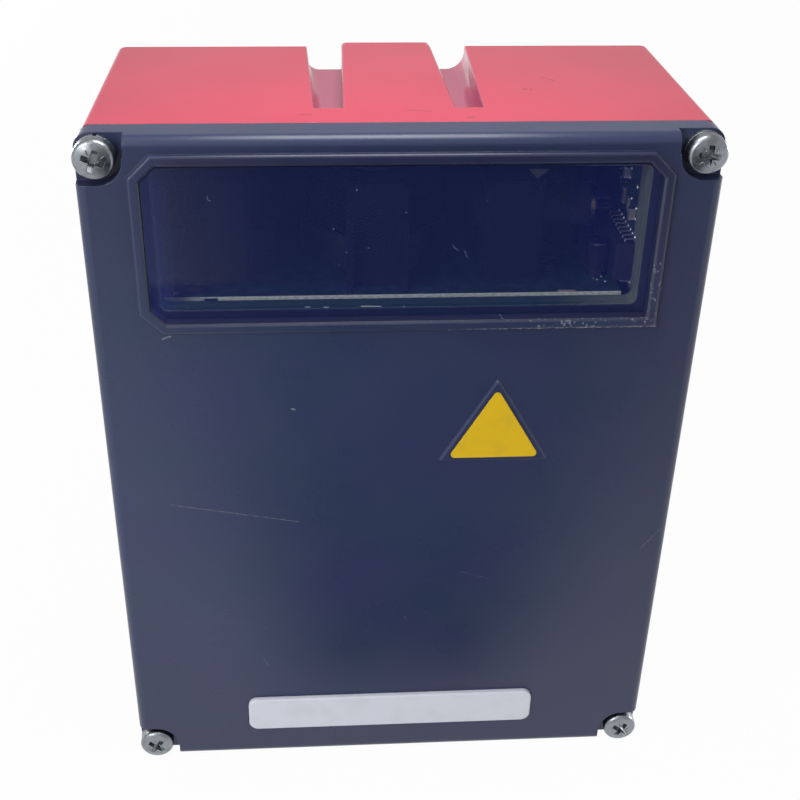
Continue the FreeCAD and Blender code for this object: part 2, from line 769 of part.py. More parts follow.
def deck_board():
    z = (DECK_TOP, BOARD_TOP)
    board = block((BOARD_LEFT, BOARD_RIGHT), (behind(BOARD_FRONT), behind(BOARD_BACK)), z)
    notch = block(BOARD_NOTCH, (behind(BOARD_FRONT), behind(BOARD_FRONT + BOARD_NOTCH_DEEP)),
                  (DECK_TOP, DECK_TOP + BOARD_NOTCH_H))
    cuts = [rod_z(WHEEL_X, behind(WHEEL_D), z, MOTOR_HOLE_R), cable_slot(z), notch]
    cuts += [rod_z(x, behind(d), z, M25_R) for x, d in DECK_SCREWS]
    return board.cut(cuts + partition_tabs(TAB_GAP))


def flange_screw_places():
    """The x and y of the three screws that hold the motor's flange."""
    turns = [math.radians(a) for a in (90, 210, 330)]
    r = MOTOR_SCREW_R
    return [(WHEEL_X + r * math.cos(a), behind(WHEEL_D) + r * math.sin(a)) for a in turns]


def deck_screws():
    seats = [(x, behind(d), BOARD_TOP) for x, d in DECK_SCREWS]
    seats += [(x, y, DECK_TOP + MOTOR_FLANGE_T) for x, y in flange_screw_places()]
    return place_screws(M25_R, DECK_SCREW_L, seats, (0, 0, -1))


def on_spindle(z, radius, bore):
    """A ring about the spindle of the mirror wheel."""
    y = behind(WHEEL_D)
    return rod_z(WHEEL_X, y, z, radius).cut(rod_z(WHEEL_X, y, z, bore))


def from_wheel(span):
    """Two heights counted from the underside of the wheel."""
    return (WHEEL_LOW + span[0], WHEEL_LOW + span[1])


def bearing_housing():
    z = (DECK_TOP, DECK_TOP + MOTOR_FLANGE_T)
    flange = on_spindle(z, MOTOR_FLANGE_R, BEARING_R)
    tube = on_spindle(from_wheel(TUBE_SPAN), TUBE_R, BEARING_R)
    return flange.fuse(tube).cut([rod_z(x, y, z, M25_R) for x, y in flange_screw_places()])


def spindle_bearings():
    spans = [(low, low + BEARING_T) for low in BEARING_LOWS]
    return [on_spindle(from_wheel(span), BEARING_R - THREAD_GAP, SHAFT_R + SHAFT_PLAY) for span in spans]


def about_spindle(shape, turn):
    """A copy of a shape made on the origin, turned and set on the spindle."""
    moved = shape.copy()
    moved.rotate(V(0, 0, 0), V(0, 0, 1), turn)
    moved.translate(V(WHEEL_X, behind(WHEEL_D), 0))
    return moved


def stator_core():
    z = from_wheel(STATOR_SPAN)
    core = on_spindle(z, YOKE_R, TUBE_R + THREAD_GAP)
    tips = on_spindle(z, STATOR_R, STATOR_R - POLE_TIP)
    gap = block((0, STATOR_R + PAST), around(0, POLE_GAP), z)
    arm = block((YOKE_R - ROOT, STATOR_R - POLE_TIP + ROOT), around(0, POLE_W), z)
    step = 360 / STATOR_POLES
    gaps = [about_spindle(gap, step * (i + 0.5)) for i in range(STATOR_POLES)]
    arms = [about_spindle(arm, step * i) for i in range(STATOR_POLES)]
    return core.fuse(arms + [tips.cut(gaps)])


def stator_coils():
    """One winding round each arm of the stator."""
    winding = block((COIL_FROM, COIL_TO), around(0, COIL_W), from_wheel(COIL_SPAN))
    z = from_wheel((STATOR_SPAN[0] - COIL_GAP, STATOR_SPAN[1] + COIL_GAP))
    winding = winding.cut(block((COIL_FROM, COIL_TO), around(0, POLE_W + 2 * COIL_GAP), z))
    return [about_spindle(winding, 360 / STATOR_POLES * i) for i in range(STATOR_POLES)]


def rotor_cup():
    """A steel cup that carries the magnet inside it and the mirror wheel on its hub."""
    skirt = on_spindle(from_wheel(SKIRT_SPAN), CUP_R, CUP_R - CUP_WALL)
    disc = on_spindle(from_wheel((-CUP_TOP, 0)), CUP_R, SHAFT_R + PRESS_GAP)
    hub = on_spindle(from_wheel((0, WHEEL_T + CLIP_T)), HUB_R, SHAFT_R + PRESS_GAP)
    return skirt.fuse([disc, hub])


def magnet_ring():
    return on_spindle(from_wheel(MAGNET_SPAN), CUP_R - CUP_WALL - THREAD_GAP, MAGNET_R)


def rotor_shaft():
    return rod_z(WHEEL_X, behind(WHEEL_D), from_wheel(SHAFT_SPAN), SHAFT_R)


def retaining_ring():
    return on_spindle(from_wheel(RING_SPAN), RING_R, SHAFT_R + PRESS_GAP)


def polygon_mirror():
    corner_r = WHEEL_APOTHEM / math.cos(math.pi / WHEEL_FACETS)
    corners = []
    for i in range(WHEEL_FACETS):
        a = 2 * math.pi * (i + 0.5) / WHEEL_FACETS
        corners.append((WHEEL_X + corner_r * math.cos(a), behind(WHEEL_D) + corner_r * math.sin(a), 0))
    z = from_wheel((0, WHEEL_T))
    return slab_z(corners, z).cut(rod_z(WHEEL_X, behind(WHEEL_D), z, HUB_R + THREAD_GAP))


def mirror_clip():
    """A spring disc with three notches that holds the wheel down on its hub."""
    z = from_wheel((WHEEL_T, WHEEL_T + CLIP_T))
    disc = on_spindle(z, CLIP_R, HUB_R + THREAD_GAP)
    notch = block((CLIP_NOTCH, CLIP_R + PAST), around(0, CLIP_NOTCH_W), z)
    return disc.cut([about_spindle(notch, a) for a in (0, 120, 240)])


def partition_tabs(grow):
    """The two tabs of the partition that sit in slots of the deck board."""
    y = (behind(PARTITION_D) - grow, behind(PARTITION_D + PARTITION_T) + grow)
    z = (DECK_TOP, BOARD_TOP)
    return [block(around(x, TAB_W + 2 * grow), y, z) for x in around(WHEEL_X, TAB_SPACING)]


def beam_partition():
    """An upright plate with two wings folded to the front."""
    x = around(WHEEL_X, PARTITION_W)
    y = (behind(PARTITION_D), behind(PARTITION_D + PARTITION_T))
    outline = [(x[0], BOARD_TOP, 0), (x[1], BOARD_TOP, 0),
               (x[1], PARTITION_TOP, PARTITION_CORNER), (x[0], PARTITION_TOP, PARTITION_CORNER)]
    wing_y = (behind(PARTITION_D - WING_DEEP), y[1])
    wings = [block(span, wing_y, (BOARD_TOP, WING_TOP))
             for span in ((x[0], x[0] + PARTITION_T), (x[1] - PARTITION_T, x[1]))]
    return slab_y(outline, y).fuse(wings + partition_tabs(0)).removeSplitter()


def laser_holder():
    """A block with a bore for the laser barrel, split above it to clamp."""
    y = behind(BEAM_D)
    top = BEAM_Z + LASER_BLOCK_UP
    body = slab_z(rectangle(LASER_BLOCK, around(y, LASER_BLOCK_DEEP), HOLDER_EDGE), (BOARD_TOP, top))
    bore = rod_x(LASER_BLOCK, y, BEAM_Z, BARREL_R + THREAD_GAP)
    split = block(LASER_BLOCK, around(y, LASER_SPLIT), (BEAM_Z, top))
    return body.cut([bore, split])


def on_beam(x, radius):
    """A rod about the beam, between two x values."""
    return rod_x(x, behind(BEAM_D), BEAM_Z, radius)


def laser_barrel():
    """A turned barrel: lens seat in front and a socket for the diode at the rear."""
    front, rear = BARREL
    hollows = [on_beam((front, front + LENS_SEAT), LENS_R + LENS_GAP), on_beam(BARREL, BARREL_BORE_R),
               on_beam((DIODE[0], rear), DIODE_R + LENS_GAP)]
    return on_beam(BARREL, BARREL_R).cut(hollows)


def barrel_ring():
    """A ring on the rear end of the barrel."""
    x = (BARREL[1] - BARREL_RING, BARREL[1])
    return on_beam(x, BARREL_RING_R).cut(on_beam(x, BARREL_R + THREAD_GAP))


def laser_lens():
    """A flat-backed lens with a domed front."""
    back = BARREL[0] + LENS_SEAT
    ball = Part.makeSphere(LENS_DOME_R, V(back - LENS_T + LENS_DOME_R, behind(BEAM_D), BEAM_Z))
    dome = on_beam((back - LENS_T, back - LENS_RIM), LENS_R).common(ball)
    return dome.fuse(on_beam((back - LENS_RIM, back), LENS_R)).removeSplitter()


def laser_diode():
    """A round can with three leads."""
    turns = [math.radians(a) for a in (90, 210, 330)]
    leads = [rod_x((DIODE[1], LEAD_END), behind(BEAM_D) + LEAD_RING_R * math.cos(a),
                   BEAM_Z + LEAD_RING_R * math.sin(a), LEAD_R) for a in turns]
    return on_beam(DIODE, DIODE_R).fuse(leads)


def receiver_holder():
    plan = rectangle(RECEIVER_BLOCK, around(behind(BEAM_D), RECEIVER_BLOCK_DEEP), HOLDER_EDGE)
    body = slab_z(plan, (BOARD_TOP, BEAM_Z + RECEIVER_BLOCK_UP))
    return body.cut(on_beam(RECEIVER_BLOCK, RECEIVER_LENS_R + LENS_GAP))


def receiver_lens():
    """A lens with two domed faces."""
    middle = sum(RECEIVER_BLOCK) / 2
    lens = on_beam(around(middle, RECEIVER_LENS_T), RECEIVER_LENS_R)
    for side in (-1, 1):
        centre = middle + side * (RECEIVER_DOME_R - RECEIVER_LENS_T / 2)
        lens = lens.common(Part.makeSphere(RECEIVER_DOME_R, V(centre, behind(BEAM_D), BEAM_Z)))
    return lens


def receiver_board():
    x = (RECEIVER_BOARD_X, RECEIVER_BOARD_X + BOARD_T)
    y = [behind(d) for d in RECEIVER_BOARD_D]
    return block(x, y, (BOARD_TOP, BEAM_Z + RECEIVER_BOARD_UP))


def photodiode():
    back = RECEIVER_BOARD_X + BOARD_T
    front = back + PHOTODIODE_T
    package = block((back, front), around(behind(BEAM_D), PHOTODIODE), around(BEAM_Z, PHOTODIODE))
    sight = block((front - PHOTODIODE_SUNK, front), around(behind(BEAM_D), PHOTODIODE_SIGHT),
                  around(BEAM_Z, PHOTODIODE_SIGHT))
    return package.cut(sight)


def side_board():
    x = (SIDE_FACE, SIDE_FACE + BOARD_T)
    board = block(x, (behind(SIDE_FRONT), behind(SIDE_BACK)), (SIDE_LOW, SIDE_HIGH))
    return board.cut([rod_x(x, behind(d), z, M3_R) for d, z in SIDE_SCREWS])


def side_board_screws():
    seats = [(SIDE_FACE, behind(d), z) for d, z in SIDE_SCREWS]
    return place_screws(M3_R, SIDE_SCREW_L, seats, (1, 0, 0))


def side_chip():
    foot = SIDE_FACE - CHIP_STAND
    body = block((foot - CHIP_T, foot), around(behind(CHIP_D), CHIP_LENGTH), around(CHIP_Z, CHIP_WIDTH))
    return body.makeChamfer(CHIP_BEVEL, edges_where(body, lambda p: p.x < foot - CHIP_T / 2))


def side_chip_leads():
    """Bent leads along both long sides of the chip: a flat, a drop and a foot on the board."""
    leads = []
    level = around(SIDE_FACE - CHIP_STAND - CHIP_T / 2, LEAD_T)
    for side in (-1, 1):
        body = CHIP_Z + side * CHIP_WIDTH / 2
        toe = CHIP_Z + side * LEAD_SPAN / 2
        heel = toe - side * LEAD_FOOT
        for i in range(LEADS_PER_SIDE):
            y = around(behind(CHIP_D + (i - (LEADS_PER_SIDE - 1) / 2) * LEAD_PITCH), LEAD_W)
            flat = block(level, y, sorted((body, heel + side * LEAD_T)))
            drop = block((level[0], SIDE_FACE), y, sorted((heel, heel + side * LEAD_T)))
            foot = block((SIDE_FACE - LEAD_T, SIDE_FACE), y, sorted((heel, toe)))
            leads.append(flat.fuse([drop, foot]))
    return leads


def side_parts():
    """Small chip parts on the side board."""
    return [block((SIDE_FACE - t, SIDE_FACE), around(behind(d), length), around(z, width))
            for d, z, length, width, t in SIDE_PARTS]


def link_header():
    """The plug that joins the deck board to the side board."""
    return block((LINK_X, SIDE_FACE), [behind(d) for d in LINK_D], (BOARD_TOP, BOARD_TOP + LINK_H))


def deck_capacitors():
    """Round cans that stand on the deck board, with a groove near the foot."""
    cans = []
    for x, d, radius, height in DECK_CANS:
        can = rod_z(x, behind(d), (BOARD_TOP, BOARD_TOP + height), radius)
        can = can.makeFillet(CAN_EDGE, edges_where(can, lambda p: p.z > BOARD_TOP))
        z = [BOARD_TOP + up for up in CAN_GROOVE]
        waist = rod_z(x, behind(d), z, radius - CAN_GROOVE_DEPTH)
        cans.append(can.cut(rod_z(x, behind(d), z, radius + PAST).cut(waist)))
    return cans


def deck_header():
    """The socket over the slot where the flat cable ends."""
    z = (BOARD_TOP, BOARD_TOP + DECK_HEADER_H)
    return block(around(OPTICS_CABLE_X, HEADER_W), around(behind(PLUG_D), HEADER_T), z)


def main_board():
    y = (behind(MAIN_FACE), behind(MAIN_FACE + BOARD_T))
    board = block(around(0, MAIN_W), y, (MAIN_LOW, MAIN_HIGH))
    return board.cut([rod_y(x, y, z, M3_R) for x, z in MAIN_SCREWS])


def main_board_screws():
    seats = [(x, behind(MAIN_FACE), z) for x, z in MAIN_SCREWS]
    return place_screws(M3_R, MAIN_SCREW_L, seats, (0, 1, 0))


def on_main_board(x, z, height):
    """A block on the front of the main board."""
    return block(x, (behind(MAIN_FACE - height), behind(MAIN_FACE)), z)


def processor_chip():
    chip = on_main_board(PROCESSOR_X, PROCESSOR_Z, PROCESSOR_H)
    top_edges = edges_where(chip, lambda p: p.y < behind(MAIN_FACE))
    return chip.makeChamfer(PROCESSOR_BEVEL, top_edges)


def memory_chips():
    return [on_main_board(x, MEMORY_Z, MEMORY_H) for x in MEMORY_XS]


def power_module():
    return on_main_board(POWER_X, POWER_Z, POWER_H)


def main_capacitors():
    cans = []
    for x in MAIN_CAN_XS:
        can = rod_y(x, (behind(MAIN_FACE - MAIN_CAN_H), behind(MAIN_FACE)), MAIN_CAN_Z, MAIN_CAN_R)
        cans.append(can.makeFillet(CAN_EDGE, edges_where(can, lambda p: p.y < behind(MAIN_FACE))))
    return cans


def main_headers():
    """The sockets of the two flat cables."""
    places = ((0, INTERFACE_CABLE_Z), (OPTICS_CABLE_X, OPTICS_CABLE_Z))
    return [on_main_board(around(x, HEADER_W), around(z, HEADER_T), HEADER_H) for x, z in places]


def plug_outline(width, deep, radius):
    """The keyed outline of the plug: one long side is shorter than the other."""
    y = behind(PLUG_D)
    slant = deep * math.tan(math.radians(SHELL_SLANT))
    return [(-width / 2, y + deep / 2, radius), (width / 2, y + deep / 2, radius),
            (width / 2 - slant, y - deep / 2, radius), (-width / 2 + slant, y - deep / 2, radius)]


def connector_shell():
    """A flange with a keyed collar that hangs down into the pocket."""
    y = behind(PLUG_D)
    z = (FLANGE_LOW - SHELL_H, POCKET_H)
    flange = slab_z(rectangle(around(0, FLANGE_W), around(y, FLANGE_DEEP), FLANGE_R), (FLANGE_LOW, POCKET_H))
    collar = slab_z(plug_outline(SHELL_W, SHELL_DEEP, SHELL_R), z)
    inside = slab_z(plug_outline(SHELL_W - 2 * SHELL_T, SHELL_DEEP - 2 * SHELL_T, SHELL_R - SHELL_T), z)
    holes = [rod_z(x, y, (FLANGE_LOW, POCKET_H), M3_R + HOLE_GAP) for x in (-POST_X, POST_X)]
    return flange.fuse(collar).cut([inside] + holes)


def pin_places():
    """The x and y of the fifteen pins, in rows of eight and seven."""
    places = []
    for count, side in zip(PIN_ROW_COUNTS, (1, -1)):
        for i in range(count):
            places.append(((i - (count - 1) / 2) * PIN_PITCH, behind(PLUG_D) + side * PIN_ROWS / 2))
    return places


def connector_insert():
    z = (FLANGE_LOW - INSERT_PROUD, PLUG_BOARD_Z)
    inset = SHELL_T + INSERT_GAP
    insert = slab_z(plug_outline(SHELL_W - 2 * inset, SHELL_DEEP - 2 * inset, SHELL_R - inset), z)
    return insert.cut([rod_z(x, y, z, PIN_R + THREAD_GAP) for x, y in pin_places()])


def connector_pins():
    """Round pins with tapered tips."""
    pins = []
    tip = FLANGE_LOW - SHELL_H + PIN_SHY
    tail = PLUG_BOARD_Z + BOARD_T + PIN_TAIL
    for x, y in pin_places():
        point = Part.makeCone(PIN_TIP_R, PIN_R, PIN_R, V(x, y, tip))
        pins.append(point.fuse(rod_z(x, y, (tip + PIN_R, tail), PIN_R)))
    return pins


def jack_posts():
    """Hexagon posts that hold the flange, with a threaded socket in the free end and a stud above."""
    posts = []
    corner = POST_HEX / math.sqrt(3)
    for x in (-POST_X, POST_X):
        y = behind(PLUG_D)
        corners = [(x + corner * math.cos(math.pi * i / 3), y + corner * math.sin(math.pi * i / 3), 0)
                   for i in range(6)]
        low = FLANGE_LOW - POST_H
        post = slab_z(corners, (low, FLANGE_LOW)).cut(rod_z(x, y, (low, low + POST_BORE), POST_BORE_R))
        posts.append(post.fuse(rod_z(x, y, (FLANGE_LOW, POCKET_H + POST_STUD), M3_R - THREAD_GAP)))
    return posts


def connector_board():
    z = (PLUG_BOARD_Z, PLUG_BOARD_Z + BOARD_T)
    board = block(around(0, PLUG_BOARD_W), around(behind(PLUG_D), PLUG_BOARD_DEEP), z)
    return board.cut([rod_z(x, y, z, PIN_R + THREAD_GAP) for x, y in pin_places()])


def board_header():
    """The socket on the connector board, open below over the ends of the pins."""
    low = PLUG_BOARD_Z + BOARD_T
    y = behind(PLUG_D)
    socket = block(around(0, SOCKET_W), around(y, SOCKET_DEEP), (low, SOCKET_TOP))
    hollow_w = SOCKET_W - 2 * SOCKET_WALL
    hollow_deep = SOCKET_DEEP - 2 * SOCKET_WALL
    return socket.cut(block(around(0, hollow_w), around(y, hollow_deep), (low, low + SOCKET_HOLLOW)))


def bent_strip(middle, up_from, end_z, side):
    """A flat cable that runs upright and turns to the rear once: side 1 turns at its top, -1 at its foot."""
    x = around(middle, CABLE_W)
    turn_z = end_z - side * CABLE_BEND
    centre_y = behind(PLUG_D) + CABLE_BEND
    outer = CABLE_BEND + CABLE_T / 2
    ring = rod_x(x, centre_y, turn_z, outer).cut(rod_x(x, centre_y, turn_z, outer - CABLE_T))
    quarter = block(x, (centre_y - outer, centre_y), sorted((turn_z, turn_z + side * outer)))
    run = block(x, around(behind(PLUG_D), CABLE_T), sorted((up_from, turn_z)))
    into = block(x, (centre_y, behind(MAIN_FACE - HEADER_H)), around(end_z, CABLE_T))
    return ring.common(quarter).fuse([run, into]).removeSplitter()


def interface_cable():
    return bent_strip(0, SOCKET_TOP, INTERFACE_CABLE_Z, 1)


def optics_cable():
    return bent_strip(OPTICS_CABLE_X, BOARD_TOP, OPTICS_CABLE_Z, -1)


NODES = (
    rear_housing, front_cover, cover_gasket, window_pane, window_bond, cover_screws, spring_washers,
    name_plate, triangle_inlay, optics_chassis, chassis_screws, deck_board, deck_screws,
    bearing_housing, spindle_bearings, stator_core, stator_coils, rotor_cup, magnet_ring, rotor_shaft,
    retaining_ring, polygon_mirror, mirror_clip, beam_partition, laser_holder, laser_barrel, barrel_ring,
    laser_lens, laser_diode, receiver_holder, receiver_lens, receiver_board, photodiode, side_board,
    side_board_screws, side_chip, side_chip_leads, side_parts, link_header, deck_capacitors, deck_header,
    main_board, main_board_screws, processor_chip, memory_chips, power_module, main_capacitors,
    main_headers, connector_shell, connector_insert, connector_pins, jack_posts, connector_board,
    board_header, interface_cable, optics_cable)

os.makedirs("parts", exist_ok=True)
for make in NODES:
    made = make()
    shape = Part.makeCompound(made) if isinstance(made, list) else made
    shape.exportStep("parts/" + make.__name__ + ".step")
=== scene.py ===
import json
import math
import random

import bmesh
import bpy
from mathutils import Matrix, Vector


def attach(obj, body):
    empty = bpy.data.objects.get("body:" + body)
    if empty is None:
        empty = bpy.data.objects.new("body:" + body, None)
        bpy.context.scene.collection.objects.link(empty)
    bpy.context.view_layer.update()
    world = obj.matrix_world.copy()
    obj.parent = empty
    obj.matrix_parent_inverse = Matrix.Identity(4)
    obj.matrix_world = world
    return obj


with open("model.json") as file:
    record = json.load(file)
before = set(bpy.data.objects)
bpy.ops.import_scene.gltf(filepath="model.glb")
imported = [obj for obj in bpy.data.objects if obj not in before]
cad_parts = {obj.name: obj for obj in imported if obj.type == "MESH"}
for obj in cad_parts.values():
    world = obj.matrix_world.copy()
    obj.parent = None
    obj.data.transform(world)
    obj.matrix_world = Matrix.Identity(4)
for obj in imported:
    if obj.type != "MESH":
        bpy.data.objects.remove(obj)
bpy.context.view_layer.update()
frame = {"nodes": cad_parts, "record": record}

# An industrial barcode reader: red cast box, navy cover, dark window, zinc screws.
# Metres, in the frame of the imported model: X across the cover, Y from the cover to the rear, Z up.

NODES = frame["nodes"]
MM = 0.001

# Camera, as found from the straight edges of the reader
CAMERA_PLACE = (-0.01771, -0.23774, 0.23233)
CAMERA_TURN = (60.214, -0.802, -3.401)
CAMERA_LENS = 54.69
CAMERA_SHIFT = (0.0225, -0.0688)
CAMERA_SENSOR = 36.0
CAMERA_NEAREST = 0.01

# Places on the reader, in millimetres
FACE_Y = -30.0
PANE_Y = -30.5
TOP_Z = 156.4
SIDE_FACE_X = 48.8
DECK_TOP_Z = 119.2

# Boxes that take a tone of their own, each as two corners in millimetres
# The inside of the housing, painted near black as shade
CAVITY = (
    ((-55.6, -23.0, 9.2), (55.6, 24.8, 150.8)), ((-55.6, -23.0, 150.0), (55.6, -15.5, 153.0)),
    ((-55.6, -16.0, 150.0), (-19.5, 24.8, 153.0)), ((19.5, -16.0, 150.0), (55.6, 24.8, 153.0)))
# The hollow behind the cover and the pane's seat, both painted near black as shade
COVER_HOLLOW = ((-48.0, -27.2, 12.0), (48.0, -22.4, 150.7))
PANE_SEAT = ((-48.45, -30.45, 118.75), (48.45, -28.3, 151.15))
OPENING = ((-46.6, -28.6, 120.65), (46.6, -24.5, 149.9))
# The window frame, where painted shade thickens
FRAME_BOX = ((-50.7, -31.1, 116.4), (50.7, -30.1, 153.5))
# The bevel round the pane, which takes a painted highlight
PANE_MOUTH = ((-48.95, -30.97, 118.3), (48.95, -30.5, 151.55))
GLUE_ZONES = (
    ((48.2, -31.2, 116.4), (50.8, -30.4, 131.0)), ((25.0, -31.2, 116.4), (50.8, -30.4, 118.9)))
GROOVES = (
    ((-18.2, -13.85, 150.85), (-9.6, 28.0, 156.2)), ((9.6, -13.85, 150.85), (18.2, 28.0, 156.2)))

# Where tones of the cover change, in millimetres: along the sill of the opening, and where painted shade
# thickens across and up the window frame and away from the lit middle of the cover
SILL_TURN = (26.0, 46.0)
FRAME_SHADE_X = (-49.0, -40.0)
FRAME_SHADE_Z = (118.0, 150.0)
LIT_MIDDLE = (-20.0, -30.0, 78.0)
LIT_RADIUS = (28.0, 85.0)

# Parts on the side board: depth behind the cover's face, height, length, width and thickness
SIDE_PARTS = (
    (24.8, 139.3, 1.6, 2.3, 1.25), (26.4, 133.5, 1.6, 3.4, 0.5),
    (22.4, 133.2, 1.6, 2.9, 0.4), (17.6, 133.1, 1.6, 2.4, 1.25))

# Leads of the chip on the side board: how many in a row, their pitch and middle, the heights of the two
# rows, and the shoulders of the upper row, where pale blobs are painted highlights
CHIP_LEADS = 8
CHIP_PITCH = 1.97
CHIP_Y = -7.95
CHIP_ROWS_Z = (118.55, 128.85)
SHOULDER_X = 46.75
SHOULDER_DROP = -0.7
SHOULDER_SIZE = (0.16, 0.18, 0.16)

# Colours, as linear light
RED = (0.58, 0.030, 0.078, 1)
RED_DEEP = (0.54, 0.026, 0.068, 1)
# Paler red for specks of dust and for the painted highlight along edges
RED_DUST_AND_HIGHLIGHT = (0.66, 0.17, 0.22, 1)
RED_SCUFF = (0.12, 0.010, 0.020, 1)
RED_DUSTY = (0.46, 0.095, 0.175, 1)
NAVY_TEAL = (0.025, 0.043, 0.103, 1)
NAVY_VIOLET = (0.029, 0.039, 0.111, 1)
# Painted highlight along the navy's edges
NAVY_EDGE_HIGHLIGHT = (0.10, 0.12, 0.19, 1)
# Painted shade on the cover, round its lit middle and up the window frame
NAVY_SHADE = (0.015, 0.019, 0.058, 1)
# Painted highlight on the bevel round the pane
NAVY_MOUTH_HIGHLIGHT = (0.026, 0.033, 0.075, 1)
# Painted shade: near black inside the hollows
HOLLOW_SHADE = (0.008, 0.009, 0.014, 1)
SILL_GREEN = (0.010, 0.036, 0.016, 1)
JAMB_GREEN = (0.095, 0.115, 0.075, 1)
DUST = (0.62, 0.64, 0.68, 1)
LENS_CLEAR = (0.93, 0.95, 0.98, 1)
LENS_FILM = (0.88, 0.92, 0.97, 1)
PAPER = (0.8, 0.8, 0.8, 1)
WHITE = (1, 1, 1, 1)


# Small helpers for node trees

# Sockets of the node that mixes two colours
MIX_FACTOR = 0
MIX_FIRST = 6
MIX_SECOND = 7
MIX_RESULT = 2

# Where most of a soft noise lies
NOISE_SPAN = (0.3, 0.7)


def feed(tree, socket, value):
    """Links an output to a socket, or sets the socket to a plain value."""
    if isinstance(value, bpy.types.NodeSocket):
        tree.links.new(value, socket)
    else:
        socket.default_value = value


def add(tree, kind, values=None, **settings):
    """Adds a node with its settings and the values or links of its inputs."""
    made = tree.nodes.new(kind)
    for name, value in settings.items():
        setattr(made, name, value)
    for name, value in (values or {}).items():
        feed(tree, made.inputs[name], value)
    return made


def calc(tree, operation, *values):
    """A number worked out from numbers."""
    made = add(tree, "ShaderNodeMath", operation=operation)
    for i, value in enumerate(values):
        feed(tree, made.inputs[i], value)
    return made.outputs[0]


def vector_calc(tree, operation, *values, out="Vector"):
    """A vector, or a number read from vectors."""
    made = add(tree, "ShaderNodeVectorMath", operation=operation)
    for i, value in enumerate(values):
        feed(tree, made.inputs[i], value)
    return made.outputs[out]


def ramp(tree, value, start, end, low=0.0, high=1.0):
    """A smooth step from low to high while a value goes from start to end."""
    limits = {"Value": value, "From Min": start, "From Max": end, "To Min": low, "To Max": high}
    return add(tree, "ShaderNodeMapRange", limits, interpolation_type="SMOOTHSTEP").outputs["Result"]


def mix(tree, factor, first, second):
    """A colour between two colours."""
    made = add(tree, "ShaderNodeMix", data_type="RGBA")
    feed(tree, made.inputs[MIX_FACTOR], factor)
    feed(tree, made.inputs[MIX_FIRST], first)
    feed(tree, made.inputs[MIX_SECOND], second)
    return made.outputs[MIX_RESULT]


def place(tree):
    """The place on the object, in metres."""
    return add(tree, "ShaderNodeTexCoord").outputs["Object"]


def split(tree, vector):
    """The three numbers of a vector."""
    return add(tree, "ShaderNodeSeparateXYZ", {"Vector": vector}).outputs


def cloud(tree, scale, detail, vector=None):
    """A soft noise between 0 and 1. Scale is in spots a metre."""
    values = {"Scale": scale, "Detail": detail, "Vector": vector or place(tree)}
    return add(tree, "ShaderNodeTexNoise", values).outputs[0]


def spread(tree, scale, detail, low=0.0, high=1.0):
    """A soft noise that fills the span from low to high."""
    return ramp(tree, cloud(tree, scale, detail), *NOISE_SPAN, low, high)


def patches(tree, scale, detail, start, end):
    """A mask of the patches where a soft noise rises from start to end."""
    return ramp(tree, cloud(tree, scale, detail), start, end)


def faded(tree, mask, share):
    """A mask at a share of its strength."""
    return calc(tree, "MULTIPLY", mask, share)


def new_group(name, inputs, outputs):
    """An empty shader group with named sockets, and its two ends."""
    tree = bpy.data.node_groups.new(name, "ShaderNodeTree")
    for socket, kind, value in inputs:
        made = tree.interface.new_socket(socket, in_out="INPUT", socket_type=kind)
        made.default_value = value
    for socket, kind in outputs:
        tree.interface.new_socket(socket, in_out="OUTPUT", socket_type=kind)
    return tree, tree.nodes.new("NodeGroupInput"), tree.nodes.new("NodeGroupOutput")


def use_group(tree, name, values):
    """Places a shader group in a material with its own values."""
    made = tree.nodes.new("ShaderNodeGroup")
    made.node_tree = bpy.data.node_groups[name]
    for key, value in values.items():
        feed(tree, made.inputs[key], value)
    return made.outputs


def metres(*point):
    """A point given in millimetres."""
    return tuple(c * MM for c in point)


NUMBER = "NodeSocketFloat"
VECTOR = "NodeSocketVector"


# Effects that several finishes share

# Height of the fine grain as a share of the waves
GRAIN_SHARE = 0.25


def make_orange_peel():
    """The soft waves and fine grain of sprayed paint or moulded plastic."""
    tree, start, end = new_group("orange_peel", [("Waves", NUMBER, 900.0), ("Grain", NUMBER, 6000.0)],
                                 [("Height", NUMBER), ("Mottle", NUMBER)])
    waves = cloud(tree, start.outputs["Waves"], detail=1.0)
    grain = cloud(tree, start.outputs["Grain"], detail=1.0)
    feed(tree, end.inputs["Height"], calc(tree, "MULTIPLY_ADD", grain, GRAIN_SHARE, waves))
    feed(tree, end.inputs["Mottle"], spread(tree, scale=38.0, detail=2.0))


def make_speckle():
    """Scattered specks of dust: one in some of the cells of a pattern."""
    tree, start, end = new_group(
        "speckle", [("Scale", NUMBER, 200.0), ("Share", NUMBER, 0.1), ("Size", NUMBER, 0.05)],
        [("Mask", NUMBER)])
    cells = add(tree, "ShaderNodeTexVoronoi", {"Vector": place(tree), "Scale": start.outputs["Scale"]})
    near = calc(tree, "LESS_THAN", cells.outputs["Distance"], start.outputs["Size"])
    chance = add(tree, "ShaderNodeSeparateColor", {"Color": cells.outputs["Color"]}).outputs[0]
    chosen = calc(tree, "LESS_THAN", chance, start.outputs["Share"])
    feed(tree, end.inputs["Mask"], calc(tree, "MULTIPLY", near, chosen))


